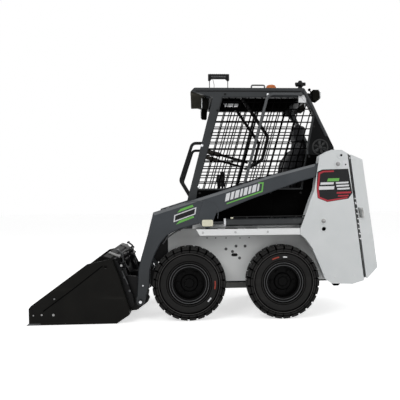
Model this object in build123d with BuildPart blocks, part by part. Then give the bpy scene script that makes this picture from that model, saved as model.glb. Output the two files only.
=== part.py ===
"""Compact wheeled skid steer loader with a battery drive.

Frame: +X forward to the bucket, +Y to the operator's left, +Z up, millimetres.
The origin is on the floor, midway along the length and on the centre plane.
The machine is drawn parked: arms down and the bucket flat on the floor.
"""

import math
import os

from build123d import *

# ---- stance -------------------------------------------------------------
half_length = 1393.5  # bucket lip to the back of the rear door, halved
rear_x = -half_length
wheelbase = 755.0
front_axle_x = 131.0
rear_axle_x = front_axle_x - wheelbase
tyre_diameter = 590.0
tyre_width = 175.0
tyre_inner_y = 340.0
axle_z = tyre_diameter / 2
tyre_mid_y = tyre_inner_y + tyre_width / 2
running_gap = 0.3  # between a pin or shaft and its bore
clearance = 6.0  # between a moving piece and its neighbour
contact_gap = 0.3  # between pieces that rest on each other

# ---- tyres and rims -----------------------------------------------------
tread_lugs = 26
lug_length = 57.0
rim_half_width = 75.0
rim_flange = 6.0
flange_radius = 142.0
bead_radius = 127.0
rim_wall = 6.0
disc_offset = 12.0  # wheel disc outboard of the tyre's middle
disc_thickness = 8.0
hub_radius = 62.0
hub_depth = 45.0
hub_cap = 30.0
spindle_radius = 30.0
axle_flange_radius = 75.0
axle_flange_depth = 30.0

# ---- chassis tub --------------------------------------------------------
chassis_half = 310.0
chassis_wall = 8.0
chassis_bottom = 279.0
chassis_top = 719.0
chassis_front_x = 307.0
chassis_rear_x = rear_x + 153.5
chassis_slope_x = 187.0
chassis_slope_z = 661.0
floor_z = 470.0
bulkhead_x = -330.0
deck_rear_x = rear_x + 393.5
belly_half = 200.0
service_hole_x = front_axle_x - wheelbase / 2
service_hole_z = 497.0
service_hole_length = 52.0
service_hole_height = 26.0
belly_bottom = 199.0

# ---- fenders ------------------------------------------------------------
fender_outer_y = 505.0
fender_sheet = 8.0
fender_lip_z = 676.0
fender_front_x = front_axle_x - 57
fender_slant = 31.0
fender_rear_x = rear_axle_x - 138

# ---- towers -------------------------------------------------------------
tower_outer_y = 509.0
tower_inner_y = 416.0
tower_sheet = 8.0
arm_pivot = (rear_x + 313.5, 1243.0)
lift_base = (rear_x + 436.5, 782.0)
pivot_pin_radius = 20.0
cylinder_pin_radius = 15.0
tie_down_radius = 18.0
tie_down = (rear_x + 437.5, 717.0)
lifting_hole = (rear_x + 288.5, 1312.0)
lifting_hole_radius = 9.0

# ---- loader arms --------------------------------------------------------
arm_inner_y = 430.0
arm_outer_y = 495.0
arm_mid_y = (arm_inner_y + arm_outer_y) / 2
arm_sheet = 8.0
arm_root_radius = 50.0
lift_eye = (-17.6, 777.0)
lug_radius = 42.0
bucket_pivot = (517.0, 158.0)
bucket_lug_radius = 32.0
coupler_pin_radius = 18.0
cross_tube = (330.0, 835.0)
cross_tube_radius = 45.0
tilt_base = (370.0, 745.0)
tilt_eye = (545.0, 310.0)

# ---- bucket -------------------------------------------------------------
bucket_half = 530.0
bucket_side_sheet = 12.0
bucket_sheet = 8.0
edge_length = 110.0
edge_thickness = 14.0

# ---- cab ----------------------------------------------------------------
cab_outer_y = 398.0
cab_post = 40.0
cab_inner_y = cab_outer_y - cab_post
roof_top = 1875.0
roof_sheet = 26.0
roof_front_x = 107.0
cab_back_x = rear_x + 548.5
guard_tube_y = 411.0
guard_tube_radius = 12.0
handle_radius = 12.5

# ---- rear door ----------------------------------------------------------
door_sheet = 6.0
hinge_radius = 8.0
hinge_leaf = 4.0
hinge_length = 60.0


def side_plane(y):
    """Upright plane at the given Y, drawn in X and Z."""
    return Plane.XZ.offset(-y)


def outline(points, y):
    """Closed side outline through the given (x, z) points."""
    with BuildSketch(side_plane(y)) as sketch:
        with BuildLine():
            Polyline(*points, close=True)
        make_face()
    return sketch.sketch


def slab(points, y_from, y_to, mode=Mode.ADD):
    """Side outline made solid between two Y values, in the current part."""
    extrude(outline(points, y_from), amount=-(y_to - y_from), mode=mode)


def bar(center, radius, y_from, y_to, mode=Mode.ADD):
    """Round bar or bore along Y at an (x, z) centre, in the current part."""
    with BuildSketch(side_plane(y_from)) as sketch:
        with Locations(center):
            Circle(radius)
    extrude(sketch.sketch, amount=-(y_to - y_from), mode=mode)


def save(part, name):
    part.label = name
    export_step(part, f"parts/{name}.step")


os.makedirs("parts", exist_ok=True)
sides = (("left", 1), ("right", -1))

# ---- chassis ------------------------------------------------------------
tub = (
    (chassis_rear_x, chassis_bottom),
    (chassis_front_x - 60, chassis_bottom),
    (chassis_front_x, chassis_bottom + 60),
    (chassis_front_x, chassis_slope_z),
    (chassis_slope_x, chassis_top),
    (chassis_rear_x, chassis_top),
)
inner_bottom = chassis_bottom + chassis_wall
tub_inside = (
    (chassis_rear_x + chassis_wall, inner_bottom),
    (chassis_front_x - 60, inner_bottom),
    (chassis_front_x - chassis_wall, chassis_bottom + 60 + chassis_wall),
    (chassis_front_x - chassis_wall, chassis_slope_z - chassis_wall),
    (chassis_slope_x, chassis_top - chassis_wall),
    (chassis_slope_x, chassis_top + chassis_wall),
    (chassis_rear_x + chassis_wall, chassis_top + chassis_wall),
)
inner_half = chassis_half - chassis_wall
with BuildPart() as chassis:
    slab(tub, -chassis_half, chassis_half)
    slab(tub_inside, -inner_half, inner_half, Mode.SUBTRACT)
    # footwell floor, bulkhead behind the footwell and deck under the seat
    for x_from, x_to, z_from, z_to in (
        (bulkhead_x, chassis_front_x, floor_z - chassis_wall, floor_z),
        (bulkhead_x - chassis_wall, bulkhead_x, floor_z - chassis_wall, chassis_top),
        (deck_rear_x, bulkhead_x, chassis_top - chassis_wall, chassis_top),
    ):
        slab(
            ((x_from, z_from), (x_to, z_from), (x_to, z_to), (x_from, z_to)),
            -inner_half,
            inner_half,
        )
    # service slot in each side wall, between the wheels
    with BuildSketch(side_plane(-chassis_half - 1)):
        with Locations((service_hole_x, service_hole_z)):
            SlotOverall(service_hole_length, service_hole_height)
    extrude(amount=-2 * chassis_half - 2, mode=Mode.SUBTRACT)
save(chassis.part, "chassis")

# ---- belly strip between the wheels and the towing shoe behind ----------
with BuildPart() as belly_guard:
    slab(
        (
            (-440, chassis_bottom),
            (-400, belly_bottom),
            (-90, belly_bottom),
            (-50, chassis_bottom),
        ),
        -belly_half,
        belly_half,
    )
    slab(
        ((-1110, chassis_bottom), (-1100, 255), (-1010, 255), (-1000, chassis_bottom)),
        -belly_half,
        belly_half,
    )
save(belly_guard.part, "belly_guard")

# ---- step in front of the footwell, open in the middle for the tilt cylinder
step_low, step_high = 448.0, 660.0
step_depth = 132.0
step_half = chassis_half - 5
step_gap_half = 70.0
with BuildPart() as front_step:
    back_x = chassis_front_x + contact_gap
    front_x = chassis_front_x + step_depth
    slab(
        (
            (back_x, step_low),
            (front_x - 40, step_low),
            (front_x, step_low + 60),
            (front_x, step_high),
            (back_x, step_high),
        ),
        -step_half,
        step_half,
    )
    slab(
        (
            (back_x + 20, step_low - 1),
            (front_x + 1, step_low - 1),
            (front_x + 1, step_high + 1),
            (back_x + 20, step_high + 1),
        ),
        -step_gap_half,
        step_gap_half,
        Mode.SUBTRACT,
    )
save(front_step.part, "front_step")

# ---- axle housings and spindles ----------------------------------------
spindle_end = tyre_mid_y + 20 - running_gap
with BuildPart() as axle_housings:
    for axle_x in (front_axle_x, rear_axle_x):
        for _, side in sides:
            center = (axle_x, axle_z)
            flange_y = chassis_half + axle_flange_depth
            neck_y = tyre_mid_y - hub_depth - clearance
            for radius, y_from, y_to in (
                (axle_flange_radius, chassis_half, flange_y),
                (spindle_radius + 18, chassis_half, neck_y),
                (spindle_radius, chassis_half, spindle_end),
            ):
                bar(center, radius, min(side * y_from, side * y_to), max(side * y_from, side * y_to))
save(axle_housings.part, "axle_housings")

# ---- wheels -------------------------------------------------------------
half_pitch = 180 / tread_lugs
facet_half = axle_z * math.tan(math.radians(half_pitch))
carcass_rows = (
    # half width, radius to the middle of a facet
    (rim_half_width - rim_flange, bead_radius + 0.05),
    (rim_half_width - rim_flange, flange_radius + 3),
    (tyre_width / 2, flange_radius + 78),
    (tyre_width / 2 - 12, axle_z - 25),
)
lug_profile = (
    # half width, depth under the lug's top
    (tyre_width / 2 - 12, 0),
    (tyre_width / 2, 44),
    (tyre_width / 2 - 20, 44),
)
with BuildPart() as tyre_sector:
    with BuildSketch(Plane.YZ):
        with BuildLine():
            Polyline(
                *((y, -r) for y, r in carcass_rows),
                *((-y, -r) for y, r in reversed(carcass_rows)),
                close=True,
            )
        make_face()
    extrude(amount=facet_half, both=True)
    slab(
        ((0, 0), (facet_half, -axle_z), (-facet_half, -axle_z)),
        -tyre_width,
        tyre_width,
        Mode.INTERSECT,
    )
    with BuildSketch(Plane.YZ):
        with BuildLine():
            Polyline(
                *((y, depth - axle_z) for y, depth in lug_profile),
                *((-y, depth - axle_z) for y, depth in reversed(lug_profile)),
                close=True,
            )
        make_face()
    extrude(amount=lug_length / 2, both=True)
with BuildPart() as tyre_form:
    with Locations(*(Rotation(0, 2 * half_pitch * k, 0) for k in range(tread_lugs))):
        add(tyre_sector.part)

for end, axle_x in (("front", front_axle_x), ("rear", rear_axle_x)):
    for side_name, side in sides:
        wheel_plane = Plane(
            origin=(axle_x, side * tyre_mid_y, axle_z), x_dir=(0, side, 0), z_dir=(side, 0, 0)
        )
        wheel_axis = Axis((axle_x, 0, axle_z), (0, 1, 0))
        with BuildPart() as tyre:
            with Locations((axle_x, side * tyre_mid_y, axle_z)):
                add(tyre_form.part)
        save(tyre.part, f"tyre_{end}_{side_name}")

        with BuildPart() as rim:
            with BuildSketch(wheel_plane):
                # barrel with its two flanges
                with BuildLine():
                    Polyline(
                        (-rim_half_width, bead_radius - rim_wall),
                        (rim_half_width, bead_radius - rim_wall),
                        (rim_half_width, flange_radius),
                        (rim_half_width - rim_flange, flange_radius),
                        (rim_half_width - rim_flange, bead_radius),
                        (rim_flange - rim_half_width, bead_radius),
                        (rim_flange - rim_half_width, flange_radius),
                        (-rim_half_width, flange_radius),
                        close=True,
                    )
                make_face()
                # dished disc and blind hub over the spindle
                with BuildLine():
                    Polyline(
                        (-hub_depth, spindle_radius + running_gap),
                        (20, spindle_radius + running_gap),
                        (20, 0),
                        (hub_cap, 0),
                        (hub_cap, hub_radius),
                        (disc_offset + disc_thickness, hub_radius + 10),
                        (disc_offset + disc_thickness, bead_radius - rim_wall),
                        (disc_offset, bead_radius - rim_wall),
                        (disc_offset, hub_radius),
                        (-hub_depth, hub_radius),
                        close=True,
                    )
                make_face()
            revolve(axis=wheel_axis)
        save(rim.part, f"rim_{end}_{side_name}")

# ---- fenders ------------------------------------------------------------
fender_top = chassis_top + fender_sheet
fender_side = (
    (fender_rear_x, fender_lip_z),
    (fender_front_x - fender_slant, fender_lip_z),
    (fender_front_x, fender_top),
    (fender_rear_x, fender_top),
)
fender_under = (
    (fender_rear_x - 10, fender_lip_z - 10),
    (fender_front_x + 10, fender_lip_z - 10),
    (fender_front_x + 10, chassis_top),
    (fender_rear_x - 10, chassis_top),
)
with BuildPart() as fenders:
    for _, side in sides:
        wall_from, wall_to = sorted((side * inner_half, side * fender_outer_y))
        slab(fender_side, wall_from, wall_to)
        lip_y = fender_outer_y - fender_sheet
        under_from, under_to = sorted((side * (inner_half - 1), side * lip_y))
        slab(fender_under, under_from, under_to, Mode.SUBTRACT)
save(fenders.part, "fenders")

# ---- loader towers ------------------------------------------------------
tower_side = (
    (arm_pivot[0] + 156, 1308),
    (arm_pivot[0] + 90, 1345),
    (arm_pivot[0] + 57, 1357),
    (arm_pivot[0] - 25, 1356),
    (arm_pivot[0] - 83, 1324),
    (rear_x + 106.5, 322),
    (rear_x + 114.5, 298),
    (rear_x + 206.5, 271),
    (rear_axle_x - 390, 279),
    (rear_axle_x - 341, 312),
    (rear_axle_x - 285, 451),
    (rear_axle_x - 237, 565),
    (rear_axle_x - 180, 646),
    (rear_axle_x - 140, 676),
    (rear_axle_x - 140, 727),
    (rear_axle_x - 182, 832),
    (lift_base[0] + 109, 953),
    (lift_base[0] + 76, 1034),
    (arm_pivot[0] + 177, 1179),
)
tower_pocket = (
    (arm_pivot[0] - 72, 1400),
    (rear_x + 117.5, 325),
    (rear_x + 123.5, 306),
    (rear_x + 208.5, 281),
    (rear_axle_x - 394, 289),
    (rear_axle_x - 349, 318),
    (rear_axle_x - 294, 455),
    (rear_axle_x - 246, 571),
    (rear_axle_x - 188, 653),
    (rear_axle_x - 148, 684),
    (rear_axle_x - 76, 700),
    (rear_axle_x - 76, 1400),
)
with BuildPart() as tower_left:
    slab(tower_side, tower_inner_y, tower_outer_y)
    slab(tower_pocket, tower_inner_y + tower_sheet, tower_outer_y - tower_sheet, Mode.SUBTRACT)
    # pins for the arm and for the lift cylinder
    bar(arm_pivot, pivot_pin_radius, tower_inner_y, tower_outer_y + 4)
    bar(lift_base, cylinder_pin_radius, tower_inner_y, tower_outer_y + 4)
    # tie-down hole and lifting hole in the outer plate
    bar(tie_down, tie_down_radius, tower_outer_y - 20, tower_outer_y + 20, Mode.SUBTRACT)
    bar(lifting_hole, lifting_hole_radius, tower_inner_y - 20, tower_outer_y + 20, Mode.SUBTRACT)
save(tower_left.part, "tower_left")

# ---- rear door hinge line ----------------------------------------------
gap_low = (rear_x + 98.5, 320.0)
gap_high = (rear_x + 223.5, 1322.0)
hinge_y = -(tower_outer_y + hinge_leaf + hinge_radius)


def on_gap_line(share):
    """Point on the slanted gap in front of the door, from low to high."""
    x = gap_low[0] + share * (gap_high[0] - gap_low[0])
    z = gap_low[1] + share * (gap_high[1] - gap_low[1])
    return x, z


gap_length = ((gap_high[0] - gap_low[0]) ** 2 + (gap_high[1] - gap_low[1]) ** 2) ** 0.5
gap_dir = ((gap_high[0] - gap_low[0]) / gap_length, 0, (gap_high[1] - gap_low[1]) / gap_length)


def hinge_part(share, up, on_door):
    """One knuckle with its leaf: the lower half on the tower, the upper on the door."""
    x, z = on_gap_line(share)
    start = running_gap if up else -running_gap - hinge_length / 2
    base = (x + start * gap_dir[0], hinge_y, z + start * gap_dir[2])
    knuckle_plane = Plane(origin=base, x_dir=(0, 1, 0), z_dir=gap_dir)
    with BuildSketch(knuckle_plane) as knuckle:
        Circle(hinge_radius)
    extrude(knuckle.sketch, amount=hinge_length / 2)
    reach = -34 if on_door else 34
    leaf_from, leaf_to = sorted((0, reach))
    with BuildSketch(knuckle_plane) as leaf:
        with Locations((hinge_radius + hinge_leaf / 2, -(leaf_from + leaf_to) / 2)):
            Rectangle(hinge_leaf, leaf_to - leaf_from)
    extrude(leaf.sketch, amount=hinge_length / 2)
    with BuildSketch(knuckle_plane) as bridge:
        with Locations((hinge_radius / 2 + hinge_leaf / 2, 0)):
            Rectangle(hinge_radius + hinge_leaf, hinge_leaf)
    extrude(bridge.sketch, amount=hinge_length / 2)


hinge_shares = (0.18, 0.82)
with BuildPart() as tower_right:
    mirror(tower_left.part, about=Plane.XZ)
    for share in hinge_shares:
        hinge_part(share, False, False)
save(tower_right.part, "tower_right")

# ---- rear frame and hood ------------------------------------------------
with BuildPart() as rear_frame:
    for _, side in sides:
        for x_from in (chassis_rear_x + 50, chassis_rear_x + 230):
            wall_from, wall_to = sorted((side * chassis_half, side * tower_inner_y))
            slab(
                ((x_from, 330), (x_from + 10, 330), (x_from + 10, 715), (x_from, 715)),
                wall_from,
                wall_to,
            )
save(rear_frame.part, "rear_frame")

hood_sheet = 6.0
hood_top_x = arm_pivot[0] + 20
hood_back_x = arm_pivot[0] - 78
with BuildPart() as rear_hood:
    slab(
        (
            (deck_rear_x - 14, chassis_top),
            (hood_top_x, 1318),
            (hood_back_x, 1306),
            (hood_back_x, 1306 - hood_sheet),
            (hood_top_x - hood_sheet, 1318 - hood_sheet),
            (deck_rear_x - 14 - hood_sheet, chassis_top),
        ),
        -tower_inner_y,
        tower_inner_y,
    )
save(rear_hood.part, "rear_hood")

with BuildPart() as battery_pack:
    with Locations((-720, 0, inner_bottom)):
        Box(500, 2 * inner_half - 44, 403, align=(Align.CENTER, Align.CENTER, Align.MIN))
save(battery_pack.part, "battery_pack")

# ---- cab ----------------------------------------------------------------
cab_side_outline = (
    (190, fender_top),
    (145, 952),
    (-73, 1798),
    (40, 1830),
    (roof_front_x, roof_top - roof_sheet),
    (cab_back_x, roof_top - roof_sheet),
    (cab_back_x - 110, 1611),
    (cab_back_x - 233, 1363),
    (cab_back_x - 195, 1330),
    (cab_back_x - 145, fender_top),
)
window_outline = (
    (59, 1053),
    (-146, 1774),
    (-150, 1798),
    (cab_back_x + 45, 1798),
    (cab_back_x - 60, 1669),
    (cab_back_x + 1, 1364),
    (cab_back_x + 45, 1053),
)
vent = (cab_back_x - 112, 1388.0)
vent_radius = 62.0
with BuildPart() as cab_side_left:
    slab(cab_side_outline, cab_inner_y, cab_outer_y)
    slab(window_outline, cab_inner_y - 1, cab_outer_y + 1, Mode.SUBTRACT)
    # round vent with a raised ring and three spokes
    bar(vent, vent_radius + 5, cab_outer_y, cab_outer_y + 5)
    bar(vent, vent_radius - 6, cab_inner_y - 1, cab_outer_y + 6, Mode.SUBTRACT)
    with BuildSketch(side_plane(cab_outer_y - 8)):
        with Locations(vent):
            with PolarLocations(vent_radius / 2 - 2, 3, start_angle=90):
                Rectangle(vent_radius - 2, 9)
            Circle(11)
    extrude(amount=-10)
save(cab_side_left.part, "cab_side_left")
with BuildPart() as cab_side_right:
    mirror(cab_side_left.part, about=Plane.XZ)
save(cab_side_right.part, "cab_side_right")

mesh_y = 371.0
mesh_wire = 6.5
mesh_pitch = 54.5
mesh_low, mesh_high = 1053.0, 1798.0
mesh_lean = (window_outline[1][0] - window_outline[0][0]) / (window_outline[1][1] - window_outline[0][1])
wire_half = mesh_wire / 2
with BuildPart() as side_mesh_left:
    # level wires, then on their outer side the wires that lean with the front post
    for row in range(1, 14):
        z = mesh_low + row * mesh_pitch
        slab(
            ((-950, z - wire_half), (100, z - wire_half), (100, z + wire_half), (-950, z + wire_half)),
            mesh_y - mesh_wire,
            mesh_y,
        )
    for column in range(1, 16):
        x = window_outline[0][0] - column * mesh_pitch
        lean_low = x - 20 * mesh_lean
        lean_high = x + (mesh_high - mesh_low + 20) * mesh_lean
        slab(
            (
                (lean_low - wire_half, mesh_low - 20),
                (lean_low + wire_half, mesh_low - 20),
                (lean_high + wire_half, mesh_high + 20),
                (lean_high - wire_half, mesh_high + 20),
            ),
            mesh_y + contact_gap,
            mesh_y + contact_gap + mesh_wire,
        )
    slab(window_outline, cab_inner_y, cab_outer_y, Mode.INTERSECT)
save(side_mesh_left.part, "side_mesh_left")
with BuildPart() as side_mesh_right:
    mirror(side_mesh_left.part, about=Plane.XZ)
save(side_mesh_right.part, "side_mesh_right")

with BuildPart() as cab_roof:
    slab(
        (
            (roof_front_x, roof_top - roof_sheet),
            (roof_front_x - 24, roof_top),
            (cab_back_x + 13, roof_top),
            (cab_back_x, roof_top - roof_sheet),
        ),
        -cab_outer_y,
        cab_outer_y,
    )
    # header over the front opening
    slab(
        ((-60, 1800), (-20, 1800), (-20, roof_top - roof_sheet), (-60, roof_top - roof_sheet)),
        -cab_inner_y,
        cab_inner_y,
    )
save(cab_roof.part, "cab_roof")

rear_sheet = 25.0
with BuildPart() as cab_rear:
    slab(
        (
            (cab_back_x, roof_top - roof_sheet),
            (cab_back_x - 110, 1611),
            (cab_back_x - 205, 1419),
            (cab_back_x - 140, fender_top),
            (cab_back_x - 140 + rear_sheet, fender_top),
            (cab_back_x - 203 + rear_sheet, 1419),
            (cab_back_x - 110 + rear_sheet, 1611),
            (cab_back_x + rear_sheet, roof_top - roof_sheet),
        ),
        -cab_inner_y,
        cab_inner_y,
    )
    slab(
        ((cab_back_x + 145, 1790), (cab_back_x - 255, 1790), (cab_back_x - 255, 1470), (cab_back_x + 145, 1470)),
        -cab_inner_y + 60,
        cab_inner_y - 60,
        Mode.SUBTRACT,
    )
save(cab_rear.part, "cab_rear")


def tube(points, radius, bend):
    """Round tube along a bent path through the given (x, y, z) points."""
    with BuildLine() as path:
        FilletPolyline(*points, radius=bend)
    line = path.line
    with BuildSketch(Plane(origin=line @ 0, z_dir=line % 0)) as section:
        Circle(radius)
    sweep(section.sketch, path=line)


def at_y(points, y):
    """The (x, z) points of a side view, moved out to the given Y."""
    return [(x, y, z) for x, z in points]


guard_path = ((cab_back_x + 49, 1823), (-524, 1823), (-322, 1075))
with BuildPart() as guard_tubes:
    for _, side in sides:
        tube(at_y(guard_path, side * guard_tube_y), guard_tube_radius, 60)
        for end_point in (guard_path[0], guard_path[-1]):
            pad_from, pad_to = sorted((side * cab_outer_y, side * guard_tube_y))
            bar(end_point, guard_tube_radius + 4, pad_from, pad_to)
save(guard_tubes.part, "guard_tubes")

handle_path = ((0, 1424), (98, 1424), (198, 1118), (120, 986))
with BuildPart() as grab_handles:
    for _, side in sides:
        handle_y = side * (cab_inner_y + cab_post / 2)
        tube(at_y(handle_path, handle_y), handle_radius, 40)
    for _, side in sides:
        wall_from, wall_to = sorted((side * (cab_inner_y - 5), side * (cab_outer_y + 5)))
        slab(cab_side_outline, wall_from, wall_to, Mode.SUBTRACT)
save(grab_handles.part, "grab_handles")

# ---- operator's seat ----------------------------------------------------
seat_half = 230.0
seat_x = cab_back_x + 15
with BuildPart() as seat_base:
    slab(
        ((seat_x + 10, chassis_top), (seat_x + 390, chassis_top), (seat_x + 410, 850), (seat_x, 850)), -200, 200
    )
save(seat_base.part, "seat_base")
with BuildPart() as seat_cushion:
    slab(((seat_x, 850.3), (seat_x + 430, 850.3), (seat_x + 440, 930), (seat_x, 930)), -seat_half, seat_half)
save(seat_cushion.part, "seat_cushion")
with BuildPart() as seat_backrest:
    slab(
        ((seat_x + 110, 930.5), (seat_x, 930.5), (seat_x - 65, 1425), (seat_x + 30, 1432), (seat_x + 118, 1300), (seat_x + 190, 960)),
        -seat_half,
        seat_half,
    )
save(seat_backrest.part, "seat_backrest")
with BuildPart() as headrest:
    slab(((seat_x + 30, 1451), (seat_x + 50, 1560), (seat_x + 10, 1637), (seat_x - 85, 1600), (seat_x - 60, 1451)), -120, 120)
    for _, side in sides:
        with Locations((seat_x - 20, side * 65, 1429.2)):
            Cylinder(8, 30, align=(Align.CENTER, Align.CENTER, Align.MIN))
save(headrest.part, "headrest")

# ---- controls -----------------------------------------------------------
lever_x = -150.0
lever_foot_x = -100.0
lever_y = cab_inner_y - 28
boot_height = 70.0
with BuildPart() as control_levers:
    for _, side in sides:
        # console box, rubber boot, shaft that leans back and grip with its thumb button
        with Locations((lever_foot_x, side * lever_y, fender_top + boot_height)):
            Cone(25, 12, boot_height, align=(Align.CENTER, Align.CENTER, Align.MIN))
        with Locations((lever_foot_x, side * lever_y, fender_top)):
            Box(84, 52, boot_height, align=(Align.CENTER, Align.CENTER, Align.MIN))
        slab(
            (
                (lever_foot_x - 8, fender_top + boot_height),
                (lever_foot_x + 8, fender_top + boot_height),
                (lever_x + 8, fender_top + 350),
                (lever_x - 8, fender_top + 350),
            ),
            side * lever_y - 8,
            side * lever_y + 8,
        )
        with Locations((lever_x, side * lever_y, fender_top + 340)):
            Cone(15, 20, 105, align=(Align.CENTER, Align.CENTER, Align.MIN))
        with Locations((lever_x, side * lever_y, fender_top + 445)):
            Cylinder(20, 14, align=(Align.CENTER, Align.CENTER, Align.MIN))
save(control_levers.part, "control_levers")

# rails that run back from the front posts beside the operator
rail_y = 338.0
rail_radius = 11.0
rail_path = ((3, 1370), (-360, 1266))
with BuildPart() as side_rails:
    for _, side in sides:
        tube(
            [
                (rail_path[0][0], side * (cab_inner_y - contact_gap), rail_path[0][1]),
                (rail_path[0][0], side * rail_y, rail_path[0][1]),
                (rail_path[1][0], side * rail_y, rail_path[1][1]),
            ],
            rail_radius,
            14,
        )
save(side_rails.part, "side_rails")
with BuildPart() as pedals:
    for _, side in sides:
        wall_from, wall_to = sorted((side * 60, side * 160))
        slab(((150, floor_z), (250, floor_z), (250, 560), (240, 565), (150, 480)), wall_from, wall_to)
save(pedals.part, "pedals")

# ---- lamps and signals --------------------------------------------------
cab_back = (
    (cab_back_x, roof_top - roof_sheet),
    (cab_back_x - 110, 1611),
    (cab_back_x - 233, 1363),
    (-700, 1363),
    (-700, roof_top - roof_sheet),
)
front_lamp = ((35, 1735), (90, 1743), (90, 1849), (35, 1849))
front_bezel = ((90, 1750), (103, 1753), (103, 1842), (90, 1842))
front_bracket = ((-20, 1700), (-4, 1690), (6, 1742), (35, 1755), (35, 1775), (-20, 1790))
rear_lamp = ((cab_back_x - 80, 1786), (cab_back_x - 127, 1782), (cab_back_x - 121, 1871), (cab_back_x - 73, 1868))
rear_bezel = ((cab_back_x - 127, 1788), (cab_back_x - 140, 1787), (cab_back_x - 134, 1864), (cab_back_x - 121, 1865))
rear_bracket = ((cab_back_x + 5, 1815), (cab_back_x - 80, 1815), (cab_back_x - 80, 1800), (cab_back_x - 35, 1740), (cab_back_x + 45, 1740))
lamp_y = 300.0
lamp_half = 50.0
with BuildPart() as work_lamps:
    for _, side in sides:
        slab(front_lamp, side * lamp_y - lamp_half, side * lamp_y + lamp_half)
        slab(front_bezel, side * lamp_y - lamp_half + 8, side * lamp_y + lamp_half - 8)
        slab(front_bracket, side * lamp_y - 8, side * lamp_y + 8)
        slab(rear_lamp, side * lamp_y - lamp_half, side * lamp_y + lamp_half)
        slab(rear_bezel, side * lamp_y - lamp_half + 8, side * lamp_y + lamp_half - 8)
        slab(rear_bracket, side * lamp_y - 15, side * lamp_y + 15)
    slab(cab_back, -cab_inner_y, cab_inner_y, Mode.SUBTRACT)
save(work_lamps.part, "work_lamps")

beacon_x = -612.0
with BuildPart() as beacon:
    # magnet foot, black collar and the dome
    with Locations((beacon_x, 0, roof_top)):
        Cylinder(56, 18, align=(Align.CENTER, Align.CENTER, Align.MIN))
    with Locations((beacon_x, 0, roof_top + 18)):
        Cone(52, 48, 74, align=(Align.CENTER, Align.CENTER, Align.MIN))
    with Locations((beacon_x, 0, roof_top + 92)):
        Cone(48, 34, 18, align=(Align.CENTER, Align.CENTER, Align.MIN))
save(beacon.part, "beacon")

light_bar_x = -139.0
light_bar_z = 2050.0
with BuildPart() as light_bar:
    with Locations((light_bar_x, 0, light_bar_z)):
        Box(188, 50, 50)
    for foot_x in (light_bar_x + 79, light_bar_x - 79):
        with Locations((foot_x, 0, roof_top + 8)):
            Cylinder(6, light_bar_z - roof_top - 8, align=(Align.CENTER, Align.CENTER, Align.MIN))
        with Locations((foot_x, 0, roof_top)):
            Cylinder(22, 8, align=(Align.CENTER, Align.CENTER, Align.MIN))
save(light_bar.part, "light_bar")

horn_x = cab_back_x + 57
horn_y = 338.0
with BuildPart() as horn:
    # low sounder on a round foot; its rim has five lobes
    with Locations((horn_x, horn_y, roof_top)):
        Cylinder(22, 16, align=(Align.CENTER, Align.CENTER, Align.MIN))
    with BuildSketch(Plane.XY.offset(roof_top + 16)):
        with Locations((horn_x, horn_y)):
            Circle(32)
            with PolarLocations(32, 5, start_angle=18):
                Circle(13)
    extrude(amount=30)
    with Locations((horn_x, horn_y, roof_top + 46)):
        Cone(24, 14, 12, align=(Align.CENTER, Align.CENTER, Align.MIN))
save(horn.part, "horn")

# ---- loader arms --------------------------------------------------------
arm_outline = (
    (arm_pivot[0], arm_pivot[1] + arm_root_radius),
    (arm_pivot[0] + 182, 1247.5),
    (-523, 1153),
    (413, 865),
    (458, 687.5),
    (511, 506),
    (533, 412),
    (bucket_pivot[0] + bucket_lug_radius, bucket_pivot[1]),
    (bucket_pivot[0] - bucket_lug_radius, bucket_pivot[1]),
    (445, 290),
    (441, 410),
    (424, 473),
    (400, 536),
    (360, 615),
    (312, 674),
    (265, 705),
    (201, 732),
    (24, 780),
    (-59, 780),
    (-86, 852),
    (-360, 961),
    (-766, 1103),
    (arm_pivot[0] + 183, 1138),
    (arm_pivot[0], arm_pivot[1] - arm_root_radius),
)
arm_chamfer = 7.0
eye_slot = ((-140, 690), (24, 690), (24, 800), (0, 815), (-140, 815))
with BuildPart() as arm_left:
    slab(arm_outline, arm_inner_y, arm_outer_y - arm_chamfer)
    extrude(outline(arm_outline, arm_outer_y - arm_chamfer), amount=-arm_chamfer, taper=45)
    bar(arm_pivot, arm_root_radius, arm_inner_y, arm_outer_y)
    bar(lift_eye, lug_radius, arm_inner_y, arm_outer_y)
    bar(bucket_pivot, bucket_lug_radius, arm_inner_y, arm_outer_y)
    slab(eye_slot, arm_inner_y + arm_sheet, arm_outer_y - arm_sheet, Mode.SUBTRACT)
    bar(arm_pivot, pivot_pin_radius + running_gap, arm_inner_y - 1, arm_outer_y + 1, Mode.SUBTRACT)
    bar(
        bucket_pivot,
        coupler_pin_radius + running_gap,
        arm_inner_y - 1,
        arm_outer_y + 1,
        Mode.SUBTRACT,
    )
    # the box section ends above the bucket pin and a thinner lug goes on
    slab(
        ((430, 90), (570, 90), (570, 206), (500, 196), (430, 206)),
        arm_outer_y - arm_sheet,
        arm_outer_y + 1,
        Mode.SUBTRACT,
    )
save(arm_left.part, "arm_left")
with BuildPart() as arm_right:
    mirror(arm_left.part, about=Plane.XZ)
save(arm_right.part, "arm_right")

# gusset round the lift cylinder's pin, and the keeper plates on the pins
gusset_sheet = 5.0
gusset_outline = (
    (17, 957),
    (-71, 936),
    (-98.5, 900),
    (-86, 852),
    (-59, 780),
    (-50, 745),
    (20, 745),
    (64, 800),
)
with BuildPart() as arm_gussets:
    for _, side in sides:
        slab(gusset_outline, *sorted((side * arm_outer_y, side * (arm_outer_y + gusset_sheet))))
save(arm_gussets.part, "arm_gussets")

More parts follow.
